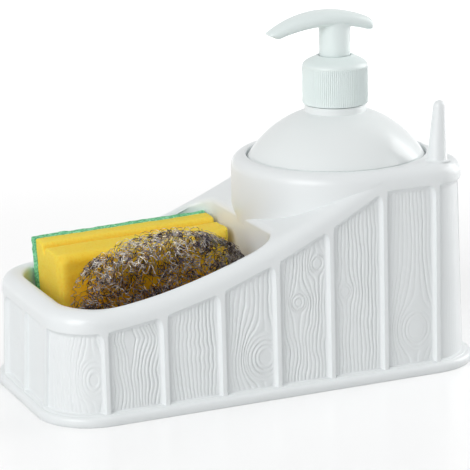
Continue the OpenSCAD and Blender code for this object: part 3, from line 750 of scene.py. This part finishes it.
def head_ring(u, close, sides=40):
    """A section of the arch at a share u, drawn in to close times its size."""
    xt = u * HEAD_REACH - NOZZLE_REACH
    xb = u * (HEAD_REACH - TIP_UNDERCUT) - NOZZLE_REACH + TIP_UNDERCUT
    zt, zb, w = head_z(xt)[0], head_z(xb)[1], head_half_w(u)
    ring = []
    for k in range(sides):
        a = PI / 2 - 2 * PI * (k + 0.5) / sides
        up, wide = [math.copysign(abs(v) ** FLAT_SHARE, v) * close for v in (math.sin(a), math.cos(a))]
        ring.append((PUMP_X + (xt + xb + up * (xt - xb)) / 2, w * wide, (zt + zb + up * (zt - zb)) / 2))
    return ring


def make_head():
    b = Builder()
    stations = [(0.0, 0.46), (0.0, 0.84), (0.006, 0.93), (0.02, 1.0)]
    stations += [(k / 44, 1.0) for k in range(2, 42)]
    stations += [(0.955, 1.0), (0.975, 0.95), (0.988, 0.86), (0.996, 0.7), (1.0, 0.45), (1.0, 0.02)]
    rings = np.array([head_ring(u, close) for u, close in stations])
    b.grid(rings, wrap=True)
    mouth = rings[0]
    centre = mouth.mean(axis=0)
    deep = np.array([9.0, 0.0, 1.6])
    bore = centre + (mouth - centre) * 0.92 + deep * 0.03
    inside = centre + (mouth - centre) * 0.7 + deep
    b.grid(np.array([inside, bore, mouth]), wrap=True)
    b.add(inside, [range(len(inside))])
    middle = head_z(0.0)[1]
    flare_z = middle + 0.2 - SKIRT_FLARE
    rows = [(SKIRT_R - 0.15, SKIRT_FOOT)]
    rows += [(SKIRT_R, SKIRT_FOOT + (flare_z - SKIRT_FOOT) * f) for f in (0.02, 0.4, 0.8)]
    rows += [(SKIRT_R + SKIRT_FLARE * (1 - math.cos(t)) * 0.25, flare_z + SKIRT_FLARE * math.sin(t))
             for t in np.radians(range(0, 91, 18))]
    a = circle(72)
    grid = []
    for r, z in rows:
        lift = np.array([head_skin_z(r * math.cos(t), r * math.sin(t)) - middle for t in a])
        grid.append(about(r, a, z + lift * max(0.0, (z - flare_z + 3.0) / (SKIRT_FLARE + 3.0))))
    b.grid(np.array(grid), wrap=True)
    inner_r = SKIRT_R - SKIRT_WALL
    lathe(b, [(SKIRT_R - 0.15, SKIRT_FOOT), (inner_r, SKIRT_FOOT), (inner_r, middle)], turns=72, flip=True)
    lathe(b, [(3.55, BOSS_FOOT), (4.9, BOSS_FOOT), (4.9, middle + 0.5)], turns=48)
    return sharpen(outward(b.object("head_shell")), 60)


# Sponge: a foam block with a finger groove, and a scouring pad on its back
FOAM_LEFT = -91.8
FOAM_RIGHT = 1.1
FOAM_FRONT = 2.6
FOAM_BACK = 36.6
FOAM_FOOT = 5.5
FOAM_TOP = 72.2
FOAM_CORNER_LEFT = 5.5
FOAM_CORNER_RIGHT = 9.0
PAD_BACK = 42.3
GROOVE_FRONT = 23.7
GROOVE_BACK = 26.3
GROOVE_DEPTH = 3.4
BLOCK_DROP = 1.5
LEFT_DROP = 2.0
LEFT_LEAN = 2.6


def noise_field(seed, count, low, high):
    """A smooth random height over space, from waves between two lengths."""
    rng = np.random.default_rng(seed)
    waves = [(rng.normal(size=3), rng.uniform(low, high), rng.uniform(0, 2 * PI)) for _ in range(count)]

    def value(p):
        total = sum(np.sin(2 * PI * (p @ unit(d)) / length + shift) for d, length, shift in waves)
        return total / math.sqrt(count)
    return value


def rounded_loop(corners, step):
    """A closed loop through corners (x, y, radius), with points a step apart."""
    out = []
    n = len(corners)
    for k in range(n):
        before, p, after = [np.array(corners[j % n][:2], float) for j in (k - 1, k, k + 1)]
        r = corners[k][2]
        u, v = unit(before - p), unit(after - p)
        half = math.acos(np.clip(np.dot(u, v), -1, 1)) / 2
        start, end = [p + way * r / math.tan(half) for way in (u, v)]
        mid = p + unit(u + v) * r / math.sin(half)
        a0 = math.atan2(*(start - mid)[::-1])
        turn = (math.atan2(*(end - mid)[::-1]) - a0 + PI) % (2 * PI) - PI
        m = max(2, int(round(abs(turn) * r / step)) + 1)
        out += [mid + r * np.array([math.cos(a0 + turn * i / m), math.sin(a0 + turn * i / m)])
                for i in range(m + 1)]
    filled = []
    for p, q in zip(out, out[1:] + out[:1]):
        m = max(1, int(round(np.linalg.norm(q - p) / step)))
        filled += [p + (q - p) * i / m for i in range(m)]
    return np.array(filled)


def shrunk(loop, inset):
    """The loop moved inwards, for a loop that runs counter-clockwise."""
    along = unit(np.roll(loop, -1, axis=0) - np.roll(loop, 1, axis=0))
    return loop + inset * np.column_stack([-along[:, 1], along[:, 0]])


def end_cap(builder, ring, way, step):
    """Fills the flat end of a prism with small triangles."""
    loop = ring[:, 1:]
    low, high = loop.min(axis=0), loop.max(axis=0)
    inner = np.stack(np.meshgrid(*[np.arange(l, h, step) for l, h in zip(low, high)]), -1).reshape(-1, 2)
    inner = inner[inside_loop(inner, loop)]
    inner = inner[nearest(inner, loop) > step * 0.5]
    n = len(loop)
    flat, faces, _ = triangles(np.vstack([loop, inner]), [(i, (i + 1) % n) for i in range(n)])
    faces = faces[inside_loop(flat[faces].mean(axis=1), loop)]
    builder.add(np.column_stack([np.full(len(flat), ring[0, 0]), flat]), facing(flat, faces, -way))


def soft_prism(name, loop, x0, x1, end_r, step, noise, amount, sag):
    """A section in (y, z) drawn along x, with rounded ends and an uneven skin."""
    stations = [(x0 + end_r * (1 - math.cos(a)), end_r * (1 - math.sin(a)))
                for a in (0.0, PI / 8, PI / 4, 3 * PI / 8, PI / 2)]
    stations += [(x, 0.0) for x in np.linspace(x0 + end_r, x1 - end_r, int((x1 - x0) / step))[1:-1]]
    stations += [(x0 + x1 - x, inset) for x, inset in stations[4::-1]]
    rings = np.array([np.column_stack([np.full(len(loop), x), shrunk(loop, inset)])
                      for x, inset in stations])
    b = Builder()
    b.grid(rings, wrap=True)
    for k, way in ((0, 1), (-1, -1)):
        end_cap(b, rings[k], way, step)
    piece = outward(b.object(name, merge=0.03))
    vertices = piece.data.vertices
    co, normal = np.zeros((2, len(vertices) * 3))
    vertices.foreach_get("co", co)
    vertices.foreach_get("normal", normal)
    p = co.reshape(-1, 3) / MM
    p += normal.reshape(-1, 3) * (noise(p) * amount)[:, None]
    vertices.foreach_set("co", (sag(p) * MM).ravel())
    piece.data.update()
    return piece


def sponge_sag(p):
    """The left end stands a little lower and leans, as in a sponge that was cut by hand."""
    left = (FOAM_RIGHT - p[:, 0]) / (FOAM_RIGHT - FOAM_LEFT)
    up = (p[:, 2] - FOAM_FOOT) / (FOAM_TOP - FOAM_FOOT)
    p[:, 2] -= LEFT_DROP * left * up
    p[:, 0] += LEFT_LEAN * left * (1.0 - up)
    return p


def foam_sag(p):
    """As sponge_sag, and rounds the plan of the block's front corners."""
    p = sponge_sag(p)
    for r, end, way in ((FOAM_CORNER_LEFT, FOAM_LEFT, 1), (FOAM_CORNER_RIGHT, FOAM_RIGHT, -1)):
        dx = (end + way * r - p[:, 0]) * way
        dy = FOAM_FRONT + r - p[:, 1]
        corner = (dx > 0) & (dy > 0)
        scale = np.maximum(dx, dy) / np.maximum(np.hypot(dx, dy), 1e-6)
        p[:, 0] = np.where(corner, end + way * r - way * dx * scale, p[:, 0])
        p[:, 1] = np.where(corner, FOAM_FRONT + r - dy * scale, p[:, 1])
    return p


def make_foam():
    top = FOAM_TOP - BLOCK_DROP
    section = [(FOAM_FRONT, FOAM_FOOT, 2.5), (GROOVE_FRONT, FOAM_FOOT, 1.0),
               (GROOVE_FRONT, FOAM_FOOT + GROOVE_DEPTH, 1.2), (GROOVE_BACK, FOAM_FOOT + GROOVE_DEPTH, 1.2),
               (GROOVE_BACK, FOAM_FOOT, 1.0), (FOAM_BACK, FOAM_FOOT, 0.6), (FOAM_BACK, FOAM_TOP, 0.6),
               (GROOVE_BACK, FOAM_TOP, 2.4), (GROOVE_BACK, top - GROOVE_DEPTH, 1.2),
               (GROOVE_FRONT, top - GROOVE_DEPTH, 1.2), (GROOVE_FRONT, top, 2.2), (FOAM_FRONT, top, 4.2)]
    return soft_prism("sponge_block", rounded_loop(section, 1.1), FOAM_LEFT, FOAM_RIGHT, 1.0, 1.3,
                      noise_field(5, 12, 5, 26), 0.13, foam_sag)


def make_pad():
    front, foot, top = FOAM_BACK + 0.1, FOAM_FOOT + 0.1, FOAM_TOP + 0.1
    section = [(front, foot, 0.8), (PAD_BACK, foot, 1.0), (PAD_BACK, top, 1.0), (front, top, 0.8)]
    return soft_prism("scouring_layer", rounded_loop(section, 0.8), FOAM_LEFT - 0.3, FOAM_RIGHT, 0.6, 0.9,
                      noise_field(6, 16, 1.9, 6), 0.2, sponge_sag)


# Wire scourer: a bun of curly wires, closer together low down and to the right
BUN_MID = np.array([-39.5, -18.9, 47.9])
BUN_LEFT = 57.8
BUN_RIGHT = 41.6
BUN_Y = 20.6
BUN_UP = 32.9
BUN_DOWN = 42.2
WIRE_R = 0.155
WIRE_CURLS = 19
CURL_STEPS = 9
# count, least and most depth, size of a curl, looseness, right half only, lower half only
WIRE_GROUPS = (
    (56, 0.93, 0.98, 2.5, 0.0, False, False),
    (16, 0.6, 0.9, 3.0, 0.0, False, False),
    (26, 0.92, 0.98, 2.1, 0.0, True, False),
    (78, 0.88, 0.98, 2.2, 0.0, False, True),
    (34, 0.6, 0.85, 2.4, 0.0, False, True),
    (18, 0.95, 0.99, 3.4, 0.04, False, False),
)


def bun_axes(p):
    """The bun's half sizes on the side of its middle where each point lies."""
    return np.stack([np.where(p[:, 0] < 0, BUN_LEFT, BUN_RIGHT), np.full(len(p), BUN_Y),
                     np.where(p[:, 2] < 0, BUN_DOWN, BUN_UP)], -1)


def strand(rng, depth, size, loose, right_only, low_only):
    """One wire that wanders through the bun, at a depth of 0 in the middle to 1 on its skin."""
    n = WIRE_CURLS * CURL_STEPS
    here = rng.normal(size=3)
    here *= depth / np.linalg.norm(here)
    heading = rng.normal(size=3)
    kicks = rng.normal(size=(n, 3)) * 0.22
    walk = np.zeros((n, 3))
    for i in range(n):
        walk[i] = here
        out = here / max(np.linalg.norm(here), 1e-6)
        heading = heading + kicks[i]
        heading -= out * np.dot(heading, out) * 0.4
        heading /= np.linalg.norm(heading)
        here = here + heading * 0.011
        here = here * (1 + (depth / max(np.linalg.norm(here), 1e-6) - 1) * 0.1)
    if right_only:
        walk[:, 0] = np.abs(walk[:, 0])
    if low_only:
        walk[:, 2] = -np.abs(walk[:, 2])
    p = BUN_MID + walk * bun_axes(walk)
    tangent = unit(np.gradient(p, axis=0))
    side = unit(np.cross(tangent, np.roll(walk, 1, axis=1) + 0.3))
    other = np.cross(tangent, side)
    k = np.arange(n)
    turn = 2 * PI / CURL_STEPS * k + 1.2 * np.sin(k * rng.uniform(0.02, 0.06))
    radius = size * (1 + 0.35 * np.sin(k * 0.11 + rng.uniform(0, 6)))
    curl = side * (np.cos(turn) * radius)[:, None] + other * (np.sin(turn) * radius)[:, None]
    out = unit((p - BUN_MID) / bun_axes(walk) ** 2)
    q = p + curl - 0.6 * out * np.sum(curl * out, axis=1)[:, None] - BUN_MID
    reach = np.linalg.norm(q / bun_axes(q), axis=1)
    limit = 1.0 + loose
    over = np.maximum(reach - limit, 0.0)
    return BUN_MID + q * ((np.minimum(reach, limit) + 0.03 * np.tanh(over / 0.03)) / reach)[:, None]


def tube(path, radius, sides=3):
    """Rings of points along a path."""
    tangent = unit(np.gradient(path, axis=0))
    a = unit(np.cross(tangent, np.where(np.abs(tangent[:, 2:]) > 0.9, (1.0, 0.0, 0.0), (0.0, 0.0, 1.0))))
    c = np.cross(tangent, a)
    turn = circle(sides)[:, None]
    return path[:, None] + radius * (a[:, None] * np.cos(turn) + c[:, None] * np.sin(turn))


def make_scourer():
    rng = np.random.default_rng(77)
    b = Builder()
    for count, low, high, size, *where in WIRE_GROUPS:
        for _ in range(count):
            path = strand(rng, rng.uniform(low, high), size * rng.uniform(0.7, 1.3), *where)
            b.grid(tube(path, WIRE_R * rng.uniform(0.75, 1.2)), wrap=True)
    return b.object("scourer_wires", merge=0)


# Return spring
SPRING_TURNS = 9
SPRING_STEPS = 16
SPRING_SIDES = 8
SPRING_WIRE = 0.5


def make_spring():
    """The return spring, between the heights of its solid, and those heights."""
    node = frame["nodes"]["return_spring"]
    corners = np.array([node.matrix_world @ Vector(c) for c in node.bound_box]) / MM
    left, _, low = corners.min(axis=0)
    right, _, high = corners.max(axis=0)
    t = np.arange(SPRING_TURNS * SPRING_STEPS + 1) / SPRING_STEPS
    rise = (high - low - 2 * SPRING_WIRE) * t / SPRING_TURNS
    rings = tube(about((right - left) / 2 - SPRING_WIRE, 2 * PI * t, low + SPRING_WIRE + rise),
                 SPRING_WIRE, SPRING_SIDES)
    b = Builder()
    b.grid(rings, wrap=True)
    b.add(rings[0], [range(SPRING_SIDES)])
    b.add(rings[-1], [range(SPRING_SIDES)[::-1]])
    return outward(b.object("spring_wire")), low, high


# Materials
# Heights in millimetres where the wires' painted shade is full and where it ends.
WIRE_SHADE_FULL = 75.0
WIRE_SHADE_END = 88.0


def feed(node, sockets):
    """Sets a node's sockets, each to a value or to the output that feeds it."""
    for key, value in sockets.items():
        if isinstance(value, bpy.types.NodeSocket):
            node.id_data.links.new(value, node.inputs[key])
        else:
            node.inputs[key].default_value = value


def made(tree, kind, sockets, output=0, **settings):
    """One output of a new shader node."""
    node = tree.nodes.new("ShaderNode" + kind)
    for key, value in settings.items():
        setattr(node, key, value)
    feed(node, sockets)
    return node.outputs[output]


def node_material(name, rough, base):
    m = bpy.data.materials.new(name)
    m.use_nodes = True
    shader = m.node_tree.nodes["Principled BSDF"]
    feed(shader, {"Roughness": rough, "Base Color": (*base, 1.0)})
    return m, m.node_tree, shader


def texture(tree, kind, scale, detail=2.0, rough=0.5):
    """A Noise or Voronoi texture, in the object's own coordinates."""
    place = made(tree, "TexCoord", {}, "Object")
    return made(tree, "Tex" + kind, {"Vector": place, "Scale": scale, "Detail": detail, "Roughness": rough})


def ramp(tree, source, stops, curve="LINEAR"):
    """A colour ramp with stops (place, colour or grey)."""
    colour = made(tree, "ValToRGB", {"Fac": source})
    band = colour.node.color_ramp
    while len(band.elements) < len(stops):
        band.elements.new(1.0)
    for e, (at, value) in zip(band.elements, stops):
        e.position = at
        e.color = (*np.broadcast_to(value, 3), 1.0)
    band.interpolation = curve
    return colour


def bump(tree, height, strength, distance):
    return made(tree, "Bump", {"Strength": strength, "Distance": distance, "Height": height})


def mixed(tree, mode, factor, a, b):
    return made(tree, "MixRGB", {"Fac": factor, "Color1": a, "Color2": b}, blend_type=mode)


def product(tree, colour, *others):
    for other in others:
        colour = mixed(tree, "MULTIPLY", 1.0, colour, other)
    return colour


def along(tree, axis, places):
    """A curve of shares along one axis, from (millimetres, share) pairs."""
    place = made(tree, "TexCoord", {}, "Object")
    low, high = places[0][0], places[-1][0]
    reach = made(tree, "MapRange", {"Value": made(tree, "SeparateXYZ", {"Vector": place}, axis),
                                    "From Min": low * MM, "From Max": high * MM})
    return ramp(tree, reach, [((v - low) / (high - low), share) for v, share in places], "EASE")


def plastic(name, base, rough, coat=0.0):
    """Moulded plastic, with a faint cloud in its colour and fine changes of gloss."""
    m, tree, shader = node_material(name, rough, base)
    cloud = texture(tree, "Noise", 22.0)
    pale, dull = [tuple(min(1.0, c * f) for c in base) for f in (1.01, 0.993)]
    feed(shader, {"Base Color": ramp(tree, cloud, [(0.3, dull), (0.7, pale)]),
                  "Roughness": ramp(tree, texture(tree, "Noise", 420.0, 3.0),
                                    [(0.35, rough * 0.93), (0.7, rough * 1.08)]),
                  "Normal": bump(tree, cloud, 0.03, 0.001),
                  "Coat Weight": coat, "Coat Roughness": 0.06})
    return m


def foam_material():
    """Pale at its edges and a deeper orange towards the middle, which is a painted glow of light through the
    foam; darker low down as painted shade; with fine pores.
    """
    m, tree, shader = node_material("yellow_foam", 0.9, (0.9, 0.6, 0.08))
    pores = texture(tree, "Voronoi", 640.0)
    pale = ramp(tree, pores, [(0.0, (0.88, 0.52, 0.03)), (0.3, (0.97, 0.66, 0.07)), (1.0, (0.98, 0.72, 0.1))])
    deep = ramp(tree, pores, [(0.0, (0.97, 0.42, 0.004)), (0.3, (1.0, 0.52, 0.008)),
                              (1.0, (1.0, 0.56, 0.012))])
    # Painted glow: the share of deep orange, most in the middle of the front, stands in for light scattered
    # through the foam.
    painted_glow = product(tree, along(tree, "X", [(-92, 0.0), (-84, 0.75), (-76, 1.0), (-20, 1.0), (0, 0.35)]),
                     along(tree, "Z", [(6, 1.0), (55, 1.0), (65, 0.75), (70, 0.2), (72, 0.0)]),
                     along(tree, "Y", [(2, 1.0), (18, 0.8), (25, 0.2), (36, 0.1)]),
                     ramp(tree, texture(tree, "Noise", 45.0, 4.0), [(0.3, 0.88), (0.65, 1.0)]))
    # Painted shade: the deep orange darkens low down, behind the wires.
    low = ramp(tree, along(tree, "Z", [(40, 0.0), (64, 1.0)]), [(0.0, (1.0, 0.78, 0.6)), (1.0, 1.0)])
    feed(shader, {"Base Color": mixed(tree, "MIX", painted_glow, pale, product(tree, deep, low)),
                  "Normal": bump(tree, pores, 0.3, 0.0004),
                  "Subsurface Weight": 0.4, "Subsurface Scale": 1.0,
                  "Subsurface Radius": (0.006, 0.0035, 0.0012), "Specular IOR Level": 0.15})
    return m


def pad_material():
    """Green fibres with painted shade in the holes between them."""
    m, tree, shader = node_material("green_fibre", 0.9, (0.1, 0.3, 0.05))
    fibre = texture(tree, "Noise", 900.0, 6.0, 0.7)
    green = ramp(tree, fibre, [(0.33, (0.03, 0.2, 0.08)), (0.48, (0.16, 0.62, 0.3)),
                               (0.62, (0.42, 0.92, 0.56))])
    # Painted shade: dark spots for the holes between the fibres, where shade falls.
    painted_hole_shade = ramp(tree, texture(tree, "Voronoi", 420.0), [(0.1, 0.2), (0.4, 1.0)])
    feed(shader, {"Base Color": mixed(tree, "MULTIPLY", 0.8, green, painted_hole_shade),
                  "Normal": bump(tree, fibre, 0.9, 0.0008)})
    return m


def wire_material():
    """Steel wires that flicker from their own dark tones to painted cream glints, and darken low in the bun
    as painted shade.
    """
    m, tree, shader = node_material("scourer_wire", 0.36, (0.4, 0.4, 0.42))
    # The tint's dark and purple-grey stops are the wires' own tones; its cream stop is a painted glint.
    tint = ramp(tree, texture(tree, "Noise", 230.0, 1.0),
                [(0.36, (0.02, 0.02, 0.04)), (0.45, (0.12, 0.1, 0.15)), (0.49, (0.5, 0.4, 0.34)),
                 (0.54, (1.0, 0.95, 0.84)), (0.64, (0.4, 0.38, 0.42))])
    # Painted shade: the wires darken low in the bun, along a slightly tilted height.
    place = made(tree, "TexCoord", {}, "Object")
    level = made(tree, "VectorMath", {0: place, 1: (-0.3, 0.0, 1.0)}, "Value", operation="DOT_PRODUCT")
    reach = made(tree, "MapRange", {"Value": level, "From Min": WIRE_SHADE_FULL * MM, "From Max": WIRE_SHADE_END * MM})
    depth = ramp(tree, reach, [(0.0, (0.42, 0.4, 0.42)), (1.0, 1.0)])
    feed(shader, {"Base Color": product(tree, tint, depth), "Metallic": 0.8})
    return m


def steel_material():
    m, tree, shader = node_material("spring_steel", 0.3, (0.6, 0.61, 0.62))
    tint = ramp(tree, texture(tree, "Noise", 300.0, 3.0), [(0.3, (0.5, 0.5, 0.51)), (0.7, (0.68, 0.68, 0.7))])
    feed(shader, {"Base Color": tint, "Metallic": 1.0})
    return m


def dress(piece, material, body=None, replaces=()):
    piece.data.materials.clear()
    piece.data.materials.append(material)
    if body:
        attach(piece, body)
    if replaces:
        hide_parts(*replaces)


white = plastic("white_moulding", (0.83, 0.862, 0.87), 0.32, 0.15)
milky = plastic("white_bottle", (0.83, 0.868, 0.868), 0.32, 0.15)
pump_white = plastic("white_pump", (0.8, 0.88, 0.87), 0.32, 0.12)
natural = plastic("natural_plastic", (0.72, 0.74, 0.72), 0.4)

caddy, left_rim, well_rim = make_caddy()
dress(caddy, white, "caddy", ("caddy_body",))
dress(make_underside(left_rim, well_rim), white, "caddy")
dress(make_bottle(), milky, "bottle_shell", ("bottle",))
dress(make_closure(), pump_white, "screw_closure", ("closure",))
dress(make_head(), pump_white, "head", ("actuator_head",))
foam = make_foam()
dress(foam, foam_material(), "sponge", ("sponge_foam",))
pad = make_pad()
dress(pad, pad_material(), "sponge", ("scouring_pad",))
dress(make_scourer(), wire_material(), "scourer", ("wire_scourer",))

steel = steel_material()
spring, spring_low, spring_high = make_spring()
dress(spring, steel, replaces=("return_spring",))
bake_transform(spring)
for name in ("inlet_ball", "outlet_ball"):
    dress(frame["nodes"][name], steel)
for name in ("neck_gasket", "pump_housing", "stem", "piston", "dip_tube"):
    dress(frame["nodes"][name], natural)
dress(frame["nodes"]["lock_ring"], pump_white)


# Floor, light and camera, in metres
FLOOR_HALF = 6.0
FLOOR_NEAR = 0.25
FLOOR_FAR = 1.1
GLOW_NEAR = 0.23
GLOW_FAR = 0.8
WORLD_LEVEL = 0.73
CAMERA_PLACE = (-0.4537, -1.0675, 0.3820)
CAMERA_TURN = (23.07, 15.1, -1.35)  # azimuth, elevation and roll, in degrees
CAMERA_LENS = 184.1


def seen(tree):
    """1 for what the camera or a reflection sees, and 0 for light on the object."""
    rays = [made(tree, "LightPath", {}, ray) for ray in ("Is Camera Ray", "Is Glossy Ray")]
    return made(tree, "Math", dict(enumerate(rays)), operation="MAXIMUM")


def floor():
    """A pale floor that glows for the camera, more so far away, and keeps the shadow."""
    mesh = bpy.data.meshes.new("floor")
    corners = ((-1, -1), (1, -1), (1, 1), (-1, 1))
    mesh.from_pydata([(x * FLOOR_HALF, y * FLOOR_HALF, 0) for x, y in corners], [], [(0, 1, 2, 3)])
    m, tree, shader = node_material("floor", 0.25, (0.78, 0.78, 0.78))
    feed(shader, {"Specular IOR Level": 0.5})
    place = made(tree, "TexCoord", {}, "Object")
    far = made(tree, "VectorMath", {0: place}, "Value", operation="LENGTH")
    reach = made(tree, "MapRange", {"Value": far, "From Min": FLOOR_NEAR, "From Max": FLOOR_FAR,
                                    "To Min": GLOW_NEAR, "To Max": GLOW_FAR}, interpolation_type="SMOOTHSTEP")
    level = made(tree, "Math", {0: seen(tree), 1: reach}, operation="MULTIPLY")
    glow = made(tree, "Emission", {"Color": (1, 1, 1, 1), "Strength": level})
    both = made(tree, "AddShader", {0: shader.outputs["BSDF"], 1: glow})
    feed(tree.nodes["Material Output"], {"Surface": both})
    mesh.materials.append(m)
    plane = new_object("floor", mesh)


def world(level):
    """Soft light from above. The camera and reflections see a white surround."""
    w = bpy.data.worlds.new("studio")
    bpy.context.scene.world = w
    w.use_nodes = True
    tree = w.node_tree
    up = made(tree, "SeparateXYZ", {"Vector": made(tree, "TexCoord", {}, "Generated")}, "Z")
    soft = made(tree, "MapRange", {"Value": up, "To Max": level})
    strength = made(tree, "Mix", {"Factor": seen(tree), "A": soft, "B": 1.0}, data_type="FLOAT")
    feed(tree.nodes["Background"], {"Color": (1.0, 1.0, 1.0, 1.0), "Strength": strength})


def softbox(name, place, target, width, height, power):
    lamp = bpy.data.lights.new(name, "AREA")
    lamp.shape = "RECTANGLE"
    lamp.size, lamp.size_y, lamp.energy = width, height, power
    o = new_object(name, lamp)
    o.location = place
    o.rotation_euler = (Vector(target) - Vector(place)).to_track_quat("-Z", "Y").to_euler()


def camera():
    azimuth, elevation, roll = [math.radians(v) for v in CAMERA_TURN]
    forward = Vector((math.sin(azimuth) * math.cos(elevation), math.cos(azimuth) * math.cos(elevation),
                      -math.sin(elevation)))
    right = forward.cross(Vector((0, 0, 1))).normalized()
    up = right.cross(forward)
    across = right * math.cos(roll) + up * math.sin(roll)
    upward = up * math.cos(roll) - right * math.sin(roll)
    turn = Matrix((across, upward, -forward)).transposed()
    data = bpy.data.cameras.new("camera")
    data.lens = CAMERA_LENS
    data.sensor_width = 36.0
    data.clip_end = 50.0
    cam = new_object("camera", data)
    cam.matrix_world = Matrix.Translation(Vector(CAMERA_PLACE)) @ turn.to_4x4()
    bpy.context.scene.camera = cam


floor()
world(WORLD_LEVEL)
softbox("key_box", (-1.43, -0.86, 0.86), (0, 0, 0.06), width=1.2, height=1.2, power=19.5)
softbox("rim_box", (1.45, -0.05, 0.5), (0.1, 0, 0.07), width=1.1, height=1.2, power=14.0)
camera()
bpy.context.scene.view_settings.view_transform = "Standard"
